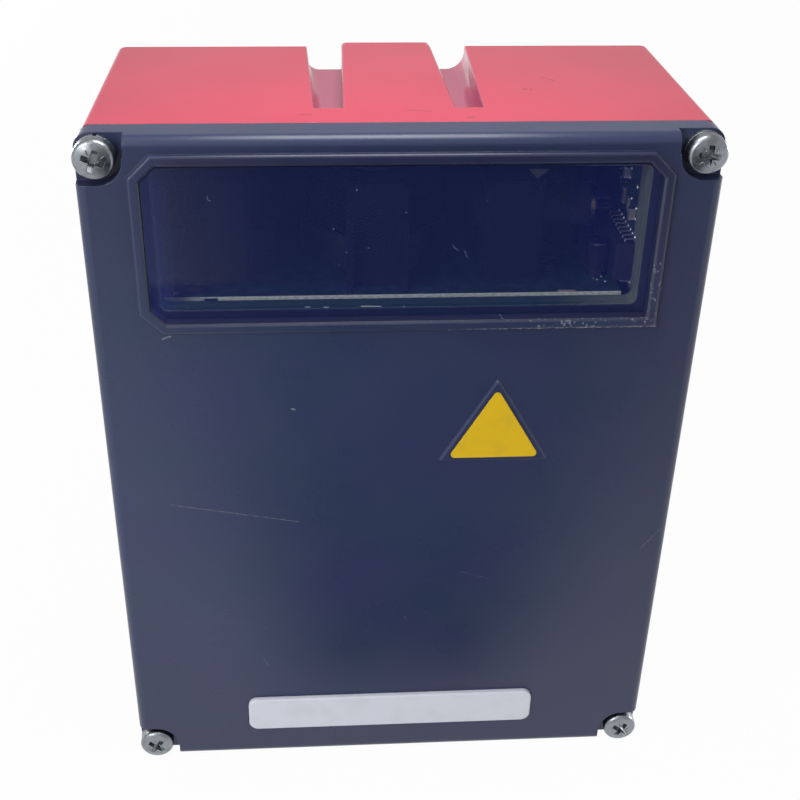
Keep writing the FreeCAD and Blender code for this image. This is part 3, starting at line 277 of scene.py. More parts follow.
def make_scratch():
    """A broken line between two points, in metres."""
    tree, start, end = new_group(
        "scratch", [("Start", VECTOR, (0, 0, 0)), ("End", VECTOR, (1, 0, 0)), ("Width", NUMBER, 0.0002)],
        [("Mask", NUMBER)])
    here = vector_calc(tree, "SUBTRACT", place(tree), start.outputs["Start"])
    along = vector_calc(tree, "SUBTRACT", start.outputs["End"], start.outputs["Start"])
    share = calc(tree, "DIVIDE", vector_calc(tree, "DOT_PRODUCT", here, along, out="Value"),
                 vector_calc(tree, "DOT_PRODUCT", along, along, out="Value"))
    share = add(tree, "ShaderNodeClamp", {"Value": share}).outputs[0]
    nearest = add(tree, "ShaderNodeVectorMath", {"Scale": share}, operation="SCALE")
    feed(tree, nearest.inputs[0], along)
    away = vector_calc(tree, "DISTANCE", here, nearest.outputs[0], out="Value")
    broken = spread(tree, scale=900.0, detail=2.0, low=0.2, high=1.2)
    reach = calc(tree, "MULTIPLY", start.outputs["Width"], broken)
    feed(tree, end.inputs["Mask"], calc(tree, "LESS_THAN", away, reach))


def make_soft_edge():
    """The softened normal of an edge, and a patchy mask along it: rubbed wear on metals and plastics, a
    painted highlight on paint.
    """
    tree, start, end = new_group("soft_edge", [("Radius", NUMBER, 0.0003), ("Rub and highlight", NUMBER, 0.5)],
                                 [("Normal", VECTOR), ("Mask", NUMBER)])
    soft = add(tree, "ShaderNodeBevel", {"Radius": start.outputs["Radius"]}, samples=4).outputs[0]
    flat = add(tree, "ShaderNodeNewGeometry").outputs["Normal"]
    turn = vector_calc(tree, "DOT_PRODUCT", soft, flat, out="Value")
    patchy = patches(tree, scale=240.0, detail=4.0, start=0.42, end=0.62)
    rub_and_highlight = calc(tree, "MULTIPLY", ramp(tree, turn, start=0.99, end=0.85), patchy)
    feed(tree, end.inputs["Normal"], soft)
    feed(tree, end.inputs["Mask"], calc(tree, "MULTIPLY", rub_and_highlight, start.outputs["Rub and highlight"]))


def make_inside_box():
    """A mask of what lies inside a box."""
    tree, start, end = new_group("inside_box", [("Low", VECTOR, (0, 0, 0)), ("High", VECTOR, (1, 1, 1))],
                                 [("Mask", NUMBER)])
    over = vector_calc(tree, "SUBTRACT", place(tree), start.outputs["Low"])
    under = vector_calc(tree, "SUBTRACT", start.outputs["High"], place(tree))
    least = split(tree, vector_calc(tree, "MINIMUM", over, under))
    room = calc(tree, "MINIMUM", calc(tree, "MINIMUM", least[0], least[1]), least[2])
    feed(tree, end.inputs["Mask"], calc(tree, "GREATER_THAN", room, 0.0))


def make_tool_lines():
    """Fine lines left by turning or drawing, and stains that come and go."""
    tree, start, end = new_group("tool_lines", [("Stretch", VECTOR, (1, 1, 1))],
                                 [("Lines", NUMBER), ("Blotch", NUMBER)])
    lines = vector_calc(tree, "MULTIPLY", place(tree), start.outputs["Stretch"])
    feed(tree, end.inputs["Lines"], cloud(tree, scale=1.0, detail=3.0, vector=lines))
    feed(tree, end.inputs["Blotch"], cloud(tree, scale=600.0, detail=4.0))


def make_shared_effects():
    """The shader groups that the finishes use."""
    make_orange_peel()
    make_speckle()
    make_scratch()
    make_soft_edge()
    make_inside_box()
    make_tool_lines()


# Finishes

def new_finish(name):
    """A material, its tree and its shader."""
    material = bpy.data.materials.new(name)
    material.use_nodes = True
    return material, material.node_tree, material.node_tree.nodes["Principled BSDF"]


def set_plain(shader, **values):
    """Plain values on the shader's own sockets."""
    for name, value in values.items():
        shader.inputs[name.replace("_", " ")].default_value = value


def give_bump(tree, shader, height, depth, strength, normal=None):
    """Relief of a given depth, in metres."""
    values = {"Height": height, "Distance": depth, "Strength": strength}
    if normal:
        values["Normal"] = normal
    feed(tree, shader.inputs["Normal"], add(tree, "ShaderNodeBump", values).outputs[0])


def any_of(tree, masks):
    """One mask of several masks."""
    total = masks[0]
    for mask in masks[1:]:
        total = calc(tree, "MAXIMUM", total, mask)
    return total


def scratches(tree, lines):
    """One mask of several scratches, each a start, an end and a width in millimetres."""
    values = [{"Start": metres(*start), "End": metres(*end), "Width": width * MM}
              for start, end, width in lines]
    return any_of(tree, [use_group(tree, "scratch", line)["Mask"] for line in values])


def inside(tree, *boxes):
    """One mask of several boxes, each two corners in millimetres."""
    values = [{"Low": metres(*low), "High": metres(*high)} for low, high in boxes]
    return any_of(tree, [use_group(tree, "inside_box", box)["Mask"] for box in values])


# Scuffs on the top of the housing, as (x, y) ends and a width
TOP_SCUFFS = (
    ((30.1, 4.5), (32.8, 1.8), 0.2), ((25.6, -3.4), (26.2, -3.6), 0.22),
    ((27.1, -3.7), (27.3, -3.5), 0.22), ((-19.6, -17.9), (-16.8, -18.1), 0.14),
    ((1.2, -15.6), (6.0, -16.8), 0.12), ((12.4, -20.3), (13.6, -20.1), 0.16),
    ((-57.6, -6.0), (-57.0, -6.2), 0.25), ((-8.2, -9.0), (-7.8, -8.6), 0.15))

# Light marks on the face of the cover, as (x, z) ends and a width
FACE_MARKS = (
    ((-47.8, 75.2), (-20.7, 69.8), 0.06), ((-21.8, 98.6), (-21.2, 98.4), 0.22),
    ((54.4, 59.9), (59.2, 66.6), 0.05), ((2.4, 42.0), (2.6, 41.6), 0.2),
    ((14.0, 55.0), (21.0, 52.6), 0.04), ((-30.0, 31.0), (-28.8, 28.5), 0.05),
    ((-46.6, 115.3), (-44.9, 115.9), 0.16))

# Roughness of the hollows that are painted near black as shade
HOLLOW_ROUGH = 0.7


def rough_hollows(tree, paint, shaded_hollow):
    """The roughness of a paint, raised in the hollows painted near black as shade."""
    return calc(tree, "MAXIMUM", paint, faded(tree, shaded_hollow, HOLLOW_ROUGH))


def red_paint():
    """Gloss red paint with a few dark scuffs, specks of dust, a painted highlight along its edges, and
    painted shade, near black, inside the housing.
    """
    material, tree, shader = new_finish("red_paint")
    peel = use_group(tree, "orange_peel", {"Waves": 700.0, "Grain": 5000.0})
    edge = use_group(tree, "soft_edge", {"Radius": 0.0004, "Rub and highlight": 0.35})
    scuffs = scratches(tree, [((*a, TOP_Z), (*b, TOP_Z), width) for a, b, width in TOP_SCUFFS])
    dust = use_group(tree, "speckle", {"Scale": 210.0, "Share": 0.10, "Size": 0.03})["Mask"]
    colour = mix(tree, peel["Mottle"], RED_DEEP, RED)
    colour = mix(tree, inside(tree, *GROOVES), colour, RED_DUSTY)
    # Painted highlight along the edges, then real specks of dust, both in a paler red
    colour = mix(tree, edge["Mask"], colour, RED_DUST_AND_HIGHLIGHT)
    colour = mix(tree, faded(tree, dust, share=0.5), colour, RED_DUST_AND_HIGHLIGHT)
    colour = mix(tree, faded(tree, scuffs, share=0.8), colour, RED_SCUFF)
    # Painted shade: the inside of the housing is near black
    shaded_hollow = inside(tree, *CAVITY)
    feed(tree, shader.inputs["Base Color"], mix(tree, shaded_hollow, colour, HOLLOW_SHADE))
    gloss = spread(tree, scale=120.0, detail=4.0, low=0.10, high=0.18)
    feed(tree, shader.inputs["Roughness"], rough_hollows(tree, gloss, shaded_hollow))
    give_bump(tree, shader, peel["Height"], depth=0.000006, strength=0.35, normal=edge["Normal"])
    set_plain(shader, Specular_IOR_Level=0.5)
    return material


def cover_painted_shade(tree, x, z):
    """A mask of painted shade round the lit middle of the cover and on the window frame, less at its left
    edge and more upwards.
    """
    away = vector_calc(tree, "DISTANCE", place(tree), metres(*LIT_MIDDLE), out="Value")
    around = ramp(tree, away, *metres(*LIT_RADIUS), low=0.0, high=0.45)
    across = ramp(tree, x, *metres(*FRAME_SHADE_X), low=0.4, high=1.0)
    upward = ramp(tree, z, *metres(*FRAME_SHADE_Z), low=0.3, high=0.9)
    tone_shift = calc(tree, "MULTIPLY", across, upward)
    return calc(tree, "MAXIMUM", around, calc(tree, "MULTIPLY", inside(tree, FRAME_BOX), tone_shift))


def dusty_cover(tree, colour):
    """A colour of the cover under light scratches, dust, lint and old glue by the pane."""
    marks = scratches(tree, [((x, FACE_Y, z), (end_x, FACE_Y, end_z), width)
                             for (x, z), (end_x, end_z), width in FACE_MARKS])
    dust = use_group(tree, "speckle", {"Scale": 170.0, "Share": 0.10, "Size": 0.026})["Mask"]
    lint = use_group(tree, "speckle", {"Scale": 420.0, "Share": 0.04, "Size": 0.05})["Mask"]
    crumbs = patches(tree, scale=1500.0, detail=4.0, start=0.58, end=0.68)
    glue = calc(tree, "MULTIPLY", inside(tree, *GLUE_ZONES), crumbs)
    colour = mix(tree, faded(tree, marks, share=0.25), colour, DUST)
    colour = mix(tree, faded(tree, any_of(tree, [dust, lint]), share=0.3), colour, DUST)
    return mix(tree, faded(tree, glue, share=0.25), colour, DUST)


def navy_paint():
    """Satin navy paint, with painted shade round its lit middle, on the window frame and near black in its
    hollows, painted highlights on its edges and round the pane, dusty, and green inside the opening.
    """
    material, tree, shader = new_finish("navy_paint")
    peel = use_group(tree, "orange_peel", {"Waves": 1100.0, "Grain": 7000.0})
    edge = use_group(tree, "soft_edge", {"Radius": 0.00035, "Rub and highlight": 0.4})
    x, _, z = split(tree, place(tree))
    colour = mix(tree, peel["Mottle"], NAVY_TEAL, NAVY_VIOLET)
    # Painted shade: darker away from the lit middle and up the window frame
    colour = mix(tree, cover_painted_shade(tree, x, z), colour, NAVY_SHADE)
    # Painted highlight: a lighter navy on the bevel round the pane
    colour = mix(tree, inside(tree, PANE_MOUTH), colour, NAVY_MOUTH_HIGHLIGHT)
    # Painted highlight along the edges
    colour = mix(tree, edge["Mask"], colour, NAVY_EDGE_HIGHLIGHT)
    colour = dusty_cover(tree, colour)
    # Painted shade: near black behind the cover and in the pane's seat
    shaded_hollow = inside(tree, COVER_HOLLOW, PANE_SEAT)
    colour = mix(tree, shaded_hollow, colour, HOLLOW_SHADE)
    green = mix(tree, ramp(tree, x, *metres(*SILL_TURN)), SILL_GREEN, JAMB_GREEN)
    feed(tree, shader.inputs["Base Color"], mix(tree, inside(tree, OPENING), colour, green))
    satin = spread(tree, scale=60.0, detail=5.0, low=0.26, high=0.34)
    feed(tree, shader.inputs["Roughness"], rough_hollows(tree, satin, shaded_hollow))
    give_bump(tree, shader, peel["Height"], depth=0.00002, strength=0.4, normal=edge["Normal"])
    set_plain(shader, Specular_IOR_Level=0.5)
    return material


# Where the tint of the pane thickens, from its clear right end and its clear foot, in millimetres, and the
# colour and the alpha of both; the thick middle is painted shade over the inside
TINT_X = (37.0, 27.0)
TINT_Z = (125.5, 129.0)
VEIL_THIN = (0.0045, 0.0069, 0.0365, 1)
VEIL_SHADED = (0.0061, 0.0096, 0.0410, 1)
TINT_THIN = 0.072
TINT_SHADED = 0.36

# Where a painted reflection brightens the veil towards the left edge of the pane, in millimetres, and by
# how much
LEFT_REFLECTION_X = (-42.0, -48.4)
LEFT_REFLECTION = 1.8

# What a smear adds to the veil and to the roughness, the roughness of the clean pane, and what a speck of
# dust adds to the alpha
SMEAR_VEIL = 0.15
SMEAR_ROUGH = 0.06
PANE_ROUGH = 0.02
SPECK_ALPHA = 0.3


def tinted_glass():
    """The dark blue pane: a smeared veil of colour over what lies behind, thick in its middle as painted
    shade on the inside and brighter towards its left edge as a painted reflection.
    """
    material, tree, shader = new_finish("tinted_glass")
    smear = patches(tree, scale=30.0, detail=5.0, start=0.35, end=0.75)
    dust = use_group(tree, "speckle", {"Scale": 330.0, "Share": 0.05, "Size": 0.04})["Mask"]
    x, _, z = split(tree, place(tree))
    # Painted shade: the tint thickens away from the right end and the foot, darkening what lies behind
    shaded_middle = calc(tree, "MULTIPLY", ramp(tree, x, *metres(*TINT_X)), ramp(tree, z, *metres(*TINT_Z)))
    tint = ramp(tree, shaded_middle, start=0.0, end=1.0, low=TINT_THIN, high=TINT_SHADED)
    smeared = calc(tree, "MULTIPLY_ADD", smear, SMEAR_VEIL, 1.0)
    # Painted reflection: the veil brightens towards the left edge
    smear_and_reflection = calc(tree, "MULTIPLY", smeared, ramp(tree, x, *metres(*LEFT_REFLECTION_X), low=1.0, high=LEFT_REFLECTION))
    strength = calc(tree, "DIVIDE", smear_and_reflection, tint)
    veil = add(tree, "ShaderNodeVectorMath", {"Scale": strength}, operation="SCALE")
    feed(tree, veil.inputs[0], mix(tree, shaded_middle, VEIL_THIN, VEIL_SHADED))
    colour = mix(tree, faded(tree, dust, share=0.5), veil.outputs[0], DUST)
    feed(tree, shader.inputs["Base Color"], colour)
    feed(tree, shader.inputs["Roughness"], calc(tree, "MULTIPLY_ADD", smear, SMEAR_ROUGH, PANE_ROUGH))
    feed(tree, shader.inputs["Alpha"], calc(tree, "MULTIPLY_ADD", dust, SPECK_ALPHA, tint))
    set_plain(shader, IOR=1.75)
    return material


# Where most of the noise of the tool lines lies
LINE_SPAN = (0.25, 0.75)

# Scale of the fine grain of a plastic against its waves
GRAIN_FINER = 5


def metal(name, colour, stain, rough, stretch, relief=0.000004):
    """A metal with fine tool lines and a stain that comes and goes."""
    material, tree, shader = new_finish(name)
    tool = use_group(tree, "tool_lines", {"Stretch": stretch})
    edge = use_group(tree, "soft_edge", {"Radius": 0.00015, "Rub and highlight": 0.4})
    tone = mix(tree, ramp(tree, tool["Blotch"], start=0.45, end=0.7), colour, stain)
    feed(tree, shader.inputs["Base Color"], mix(tree, edge["Mask"], tone, colour))
    feed(tree, shader.inputs["Roughness"], ramp(tree, tool["Lines"], *LINE_SPAN, *rough))
    give_bump(tree, shader, tool["Lines"], depth=relief, strength=0.6, normal=edge["Normal"])
    set_plain(shader, Metallic=1.0)
    return material


def plastic(name, colour, soil, rough, grain, gloss=0.4):
    """A moulded or fired piece with a fine grain and uneven soiling."""
    material, tree, shader = new_finish(name)
    peel = use_group(tree, "orange_peel", {"Waves": grain, "Grain": grain * GRAIN_FINER})
    edge = use_group(tree, "soft_edge", {"Radius": 0.0002, "Rub and highlight": 0.3})
    tone_shift = patches(tree, scale=160.0, detail=5.0, start=0.45, end=0.75)
    tone = mix(tree, faded(tree, tone_shift, share=0.6), colour, soil)
    feed(tree, shader.inputs["Base Color"], mix(tree, edge["Mask"], tone, soil))
    low, high = rough
    feed(tree, shader.inputs["Roughness"], spread(tree, scale=300.0, detail=3.0, low=low, high=high))
    give_bump(tree, shader, peel["Height"], depth=0.00002, strength=0.3, normal=edge["Normal"])
    set_plain(shader, Specular_IOR_Level=gloss)
    return material


# Boards: solder mask, tracks, bare margin, and the two tones of pale and of black laminate
BOARD_MASK = (0.012, 0.036, 0.024, 1)
BOARD_TRACK = (0.030, 0.070, 0.045, 1)
BOARD_BARE = (0.15, 0.17, 0.13, 1)
LAMINATE = ((0.60, 0.72, 0.60, 1), (0.98, 1.0, 0.90, 1))
LAMINATE_BLACK = ((0.020, 0.024, 0.026, 1), (0.035, 0.04, 0.042, 1))

# Directions of the three axes
ALONG_X = (1, 0, 0)
ALONG_Y = (0, 1, 0)
ALONG_Z = (0, 0, 1)

# Bare margins: axis, and where the mask ends and is gone, in millimetres
LEVEL_MARGIN = (0, -44.9, -45.5)
SIDE_MARGIN = (1, -13.4, -14.0)

# Cells of the tracks in a metre, and the stretch of the laminate's fibres
TRACK_CELLS = 520.0
FIBRE_STRETCH = (1000.0, 1000.0, 4500.0)


def board(name, thin_axis, bare=None, edge=LAMINATE):
    """Solder mask with tracks on the faces of a board, a bare margin and laminate on its edges."""
    material, tree, shader = new_finish(name)
    normal = add(tree, "ShaderNodeNewGeometry").outputs["Normal"]
    face = calc(tree, "ABSOLUTE", vector_calc(tree, "DOT_PRODUCT", normal, thin_axis, out="Value"))
    grid = {"Vector": place(tree), "Scale": TRACK_CELLS}
    cells = add(tree, "ShaderNodeTexVoronoi", grid, distance="CHEBYCHEV")
    track = ramp(tree, cells.outputs["Distance"], start=0.42, end=0.46)
    colour = mix(tree, faded(tree, track, share=0.7), BOARD_MASK, BOARD_TRACK)
    if bare:
        axis, start, end = bare
        margin = ramp(tree, split(tree, place(tree))[axis], start * MM, end * MM)
        colour = mix(tree, margin, colour, BOARD_BARE)
    stretched = vector_calc(tree, "MULTIPLY", place(tree), FIBRE_STRETCH)
    fibres = cloud(tree, scale=1.0, detail=4.0, vector=stretched)
    laminate = mix(tree, ramp(tree, fibres, start=0.38, end=0.62), *edge)
    on_edge = ramp(tree, face, start=0.7, end=0.5)
    feed(tree, shader.inputs["Base Color"], mix(tree, on_edge, colour, laminate))
    feed(tree, shader.inputs["Roughness"], ramp(tree, fibres, start=0.2, end=0.8, low=0.45, high=0.6))
    give_bump(tree, shader, track, depth=0.00002, strength=0.5)
    set_plain(shader, Specular_IOR_Level=0.3)
    return material


def lens_glass():
    """Clear polished glass with a faint film."""
    material, tree, shader = new_finish("lens_glass")
    film = spread(tree, scale=220.0, detail=3.0)
    feed(tree, shader.inputs["Base Color"], mix(tree, film, LENS_CLEAR, LENS_FILM))
    feed(tree, shader.inputs["Roughness"], faded(tree, film, share=0.03))
    set_plain(shader, Transmission_Weight=1.0, IOR=1.52)
    return material


# Metals: colour, stain, roughness, the stretch of the tool lines and, for some, their depth
METALS = {
    "zinc_steel": ((0.28, 0.305, 0.33), (0.20, 0.22, 0.23), (0.28, 0.40), (1400.0, 500.0, 1400.0)),
    "inner_steel": ((0.07, 0.07, 0.075), (0.045, 0.045, 0.05), (0.25, 0.45), (300.0, 300.0, 5000.0)),
    "tinned": ((0.72, 0.72, 0.70), (0.50, 0.50, 0.47), (0.25, 0.4), (1500.0, 1500.0, 800.0)),
    "pin_gold": ((0.85, 0.60, 0.20), (0.62, 0.42, 0.14), (0.18, 0.32), (2500.0, 2500.0, 900.0)),
    "barrel_brass": ((0.13, 0.105, 0.045), (0.09, 0.07, 0.03), (0.22, 0.4), (6000.0, 300.0, 300.0)),
    "deck_steel": ((0.15, 0.145, 0.10), (0.09, 0.085, 0.06), (0.3, 0.45), (900.0, 900.0, 300.0)),
    "coil_wire": ((0.55, 0.24, 0.11), (0.35, 0.14, 0.07), (0.25, 0.4), (200.0, 200.0, 7000.0), 0.00005),
    "stator_iron": ((0.20, 0.20, 0.21), (0.12, 0.10, 0.09), (0.4, 0.6), (100.0, 100.0, 9000.0), 0.00002),
    # mirror: near black, so its faces show painted shade instead of what a mirror would show
    "mirror": ((0.032, 0.034, 0.042), (0.026, 0.028, 0.034), (0.02, 0.06), (900.0, 900.0, 300.0), 4e-7),
    "chassis_metal": ((0.010, 0.024, 0.018), (0.007, 0.017, 0.013), (0.45, 0.65), (200.0, 2400.0, 2400.0)),
}

# Plastics, rubbers and fired pieces: colour, soil, roughness, grain and, for some, gloss
PLASTICS = {
    "holder_black": ((0.014, 0.015, 0.022), (0.017, 0.018, 0.025), (0.7, 0.85), 260.0, 0.06),
    "plate_white": ((0.73, 0.77, 0.855), (0.65, 0.685, 0.755), (0.28, 0.42), 1300.0),
    "yellow_film": ((0.79, 0.51, 0.010), (0.64, 0.42, 0.03), (0.3, 0.42), 1800.0, 0.25),
    "bond_navy": ((0.017, 0.022, 0.058), (0.020, 0.026, 0.066), (0.6, 0.8), 400.0, 0.1),
    "seal_rubber": ((0.010, 0.010, 0.012), (0.03, 0.03, 0.034), (0.6, 0.8), 2000.0, 0.2),
    "magnet": ((0.03, 0.03, 0.032), (0.06, 0.06, 0.06), (0.5, 0.7), 2500.0),
    "chip_grey": ((0.020, 0.018, 0.025), (0.016, 0.015, 0.020), (0.5, 0.65), 4000.0, 0.2),
    # lead_shaded: the leads painted dark as shade, with pale blobs at their shoulders
    "lead_shaded": ((0.19, 0.18, 0.17), (0.11, 0.105, 0.10), (0.3, 0.5), 3000.0, 0.5),
    "chip_black": ((0.024, 0.022, 0.026), (0.034, 0.032, 0.036), (0.5, 0.65), 4000.0, 0.25),
    "part_grey": ((0.20, 0.20, 0.165), (0.14, 0.14, 0.115), (0.4, 0.55), 5000.0),
    "part_brown": ((0.44, 0.33, 0.30), (0.30, 0.21, 0.18), (0.4, 0.55), 5000.0),
    "can_sleeve": ((0.014, 0.015, 0.022), (0.018, 0.019, 0.026), (0.14, 0.24), 300.0, 0.5),
    "cable_grey": ((0.34, 0.35, 0.36), (0.22, 0.22, 0.23), (0.4, 0.55), 1600.0),
    # film_grey: the pale flake on the back of the pane, a painted reflection
    "film_grey": ((0.15, 0.17, 0.23), (0.10, 0.115, 0.16), (0.35, 0.5), 500.0),
    "old_glue": ((0.34, 0.35, 0.38), (0.16, 0.16, 0.20), (0.45, 0.7), 6000.0),
    "lint": ((0.26, 0.29, 0.38), (0.18, 0.20, 0.27), (0.7, 0.9), 6000.0),
}


def opaque(colour):
    """A colour with its alpha."""
    return (*colour, 1)


def make_finishes():
    """A finish for each slot, and for the pieces that differ from their slot."""
    finishes = {"red_paint": red_paint(), "navy_paint": navy_paint(), "tinted_glass": tinted_glass(),
                "lens_glass": lens_glass()}
    for name, (colour, stain, *rest) in METALS.items():
        finishes[name] = metal(name, opaque(colour), opaque(stain), *rest)
    for name, (colour, soil, *rest) in PLASTICS.items():
        finishes[name] = plastic(name, opaque(colour), opaque(soil), *rest)
    finishes["board"] = board("board", ALONG_Y)
    finishes["board_level"] = board("board_level", ALONG_Z, bare=LEVEL_MARGIN)
    finishes["board_side"] = board("board_side", ALONG_X, bare=SIDE_MARGIN)
    finishes["board_black"] = board("board_black", ALONG_X, edge=LAMINATE_BLACK)
    return finishes


# Nodes that differ from their slot
OWN_FINISH = {"deck_board": "board_level", "connector_board": "board_level", "side_board": "board_side",
              "receiver_board": "board_black", "side_chip": "chip_grey", "side_chip_leads": "lead_shaded",
              "window_bond": "bond_navy", "deck_screws": "deck_steel"}


def dress_nodes():
    """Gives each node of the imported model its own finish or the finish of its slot."""
    for part in frame["record"]["subparts"]:
        node = part["node"]
        finish = OWN_FINISH.get(node, part["material_slot"])
        NODES[node].material_slots[0].material = FINISHES[finish]


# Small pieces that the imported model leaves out

def add_piece(name, data, finish):
    """A piece of the reader's body, with its finish."""
    data.materials.append(FINISHES[finish])
    piece = bpy.data.objects.new(name, data)
    bpy.context.scene.collection.objects.link(piece)
    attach(piece, "reader")


def add_mesh(name, shape, finish):
    """A smooth-shaded piece from a finished bmesh."""
    mesh = bpy.data.meshes.new(name)
    shape.to_mesh(mesh)
    shape.free()
    mesh.shade_smooth()
    add_piece(name, mesh, finish)


def round_edges(shape, edges, width):
    """Rounds edges over a width in millimetres."""
    bmesh.ops.bevel(shape, geom=edges, offset=width * MM, segments=2, affect="EDGES", profile=0.5)


def add_block(shape, low, high, bevel):
    """A block with rounded edges between two corners, in millimetres."""
    middle = [(a + b) / 2 * MM for a, b in zip(low, high)]
    size = [(b - a) * MM for a, b in zip(low, high)]
    made = bmesh.ops.create_cube(shape, matrix=Matrix.Translation(middle) @ Matrix.Diagonal((*size, 1)))
    edges = dict.fromkeys(e for v in made["verts"] for e in v.link_edges)
    round_edges(shape, list(edges), bevel)


def add_blob(shape, where, size, turn=0.0):
    """A squashed ball with its three half sizes in millimetres, turned about Y."""
    turned = Matrix.Translation(metres(*where)) @ Matrix.Rotation(turn, 4, "Y")
    matrix = turned @ Matrix.Diagonal((*metres(*size), 1))
    bmesh.ops.create_icosphere(shape, subdivisions=2, radius=1.0, matrix=matrix)


# Radius of a joint at a lead of the chip, and the height of every dome as a share of its radius
LEAD_JOINT = 0.36
JOINT_HEIGHT = 0.8

# Joints on the side board away from the chip: y, z and radius
SIDE_JOINTS = (
    (1.7, 137.3, 0.3), (-6.5, 140.6, 0.4), (0.7, 135.7, 0.25), (-6.2, 138.4, 0.4), (-12.2, 138.8, 0.5),
    (-8.9, 134.9, 0.35), (-13.0, 134.4, 0.4), (-10.5, 133.2, 0.3), (-13.3, 132.2, 0.4),
    (-13.6, 115.7, 0.35), (0.5, 134.6, 0.18), (-3.3, 136.2, 0.18), (-9.2, 122.1, 0.2))


def lead_joints(z):
    """The joints of one row of leads: y, z and radius."""
    middle = (CHIP_LEADS - 1) / 2
    return [(CHIP_Y + (i - middle) * CHIP_PITCH, z, LEAD_JOINT) for i in range(CHIP_LEADS)]


def make_side_solder_and_highlights():
    """Solder joints on the side board, as domes cut off at the board's face, and pale blobs on the
    shoulders of the upper leads as painted highlights.
    """
    lower, upper = [lead_joints(z) for z in CHIP_ROWS_Z]
    shape = bmesh.new()
    for y, z, radius in (*lower, *upper, *SIDE_JOINTS):
        add_blob(shape, (SIDE_FACE_X, y, z), (radius * JOINT_HEIGHT, radius, radius))
    everything = shape.verts[:] + shape.edges[:] + shape.faces[:]
    bmesh.ops.bisect_plane(shape, geom=everything, plane_co=metres(SIDE_FACE_X, 0, 0), plane_no=ALONG_X,
                           clear_outer=True)
    # Painted highlights: pale blobs on the shoulders of the upper leads
    for y, z, _ in upper:
        add_blob(shape, (SHOULDER_X, y, z + SHOULDER_DROP), SHOULDER_SIZE)
    add_mesh("side_solder_and_highlights", shape, "tinned")


# Caps of the parts on the side board: length, how far they stand proud, and rounding
END_LONG = 0.35
END_PROUD = 0.04
END_ROUND = 0.1


def make_part_ends():
    """Tinned caps over the two ends of each part on the side board."""
    shape = bmesh.new()
    for depth, z, length, width, thick in SIDE_PARTS:
        y = FACE_Y + depth
        reach = length / 2 + END_PROUD
        for side in (-1, 1):
            tip = z + side * (width / 2 + END_PROUD)
            root = tip - side * END_LONG
            low = (SIDE_FACE_X - thick - END_PROUD, y - reach, min(tip, root))
            high = (SIDE_FACE_X - END_PROUD, y + reach, max(tip, root))
            add_block(shape, low, high, END_ROUND)
    add_mesh("side_part_ends", shape, "tinned")


# Flat part on the deck board: x, y, length, width and height, and its rounding
DECK_PART = (34.6, -19.65, 3.6, 0.6, 0.16)
DECK_PART_ROUND = 0.04

# Pins in the deck board, as x and y, and their half sizes
DECK_PINS = ((-44.9, -19.0), (-44.3, -19.0))
PIN_SIZE = (0.14, 0.14, 0.5)

# Pale blobs at the foot of the can on the deck board, painted highlights, as x, y and radius
DECK_HIGHLIGHT_BLOBS = ((41.3, -14.2, 0.3), (41.9, -14.7, 0.25), (43.1, -13.3, 0.25), (43.5, -15.6, 0.3))


def make_deck_parts():
    """A flat brown part, two pins and a few pale blobs as painted highlights on the deck board."""
    x, y, length, width, height = DECK_PART
    shape = bmesh.new()
    low = (x - length / 2, y - width / 2, DECK_TOP_Z)
    high = (x + length / 2, y + width / 2, DECK_TOP_Z + height)
    add_block(shape, low, high, DECK_PART_ROUND)
    add_mesh("deck_parts", shape, "part_brown")
    pins = bmesh.new()
    for x, y in DECK_PINS:
        add_blob(pins, (x, y, DECK_TOP_Z + PIN_SIZE[2] / 2), PIN_SIZE)
    for x, y, radius in DECK_HIGHLIGHT_BLOBS:
        add_blob(pins, (x, y, DECK_TOP_Z), (radius, radius, radius * JOINT_HEIGHT))
    add_mesh("deck_pins", pins, "tinned")


GLUE_SEED = 11

# Level lines of glue crumbs, in the pane's seat and under the frame: count, right end, reach to the left,
# how they gather at the right, y, limits of half length, half height and z, half depth and greatest tilt
GLUE_LINES = (
    (40, 48.6, 68.0, 2.0, -30.72, (0.05, 0.12), (0.04, 0.08), (118.5, 118.75), 0.06, 0.3),
    (80, 50.2, 42.0, 1.7, -30.82, (0.12, 0.7), (0.05, 0.09), (116.78, 116.88), 0.06, 0.06))

# Crumbs up the right edges of the seat and the frame: how many, foot, reach upwards, how they gather at
# the foot, limits of half length and half height, half depth, the x and y of the edges, stray and tilt
EDGE_CRUMBS = 50
EDGE_FOOT = 117.0
EDGE_REACH = 14.0
EDGE_GATHER = 1.6
EDGE_LENGTH = (0.04, 0.09)
EDGE_HEIGHT = (0.05, 0.2)
EDGE_DEPTH = 0.05
EDGE_PLACES = ((48.55, -30.75), (50.32, -30.82), (49.4, -30.95))
EDGE_STRAY = 0.1
EDGE_TILT = 0.3


def add_glue_line(shape, chance, line):
    """Crumbs of old glue along a level line."""
    count, right, reach, gather, y, lengths, heights, levels, depth, tilt = line
    for _ in range(count):
        x = right - reach * chance.random() ** gather
        size = (chance.uniform(*lengths), depth, chance.uniform(*heights))
        add_blob(shape, (x, y, chance.uniform(*levels)), size, chance.uniform(-tilt, tilt))


def add_edge_glue(shape, chance):
    """Crumbs of old glue up the right edges of the seat and the frame."""
    for _ in range(EDGE_CRUMBS):
        z = EDGE_FOOT + EDGE_REACH * chance.random() ** EDGE_GATHER
        size = (chance.uniform(*EDGE_LENGTH), EDGE_DEPTH, chance.uniform(*EDGE_HEIGHT))
        x, y = chance.choice(EDGE_PLACES)
        x += chance.uniform(-EDGE_STRAY, EDGE_STRAY)
        add_blob(shape, (x, y, z), size, chance.uniform(-EDGE_TILT, EDGE_TILT))


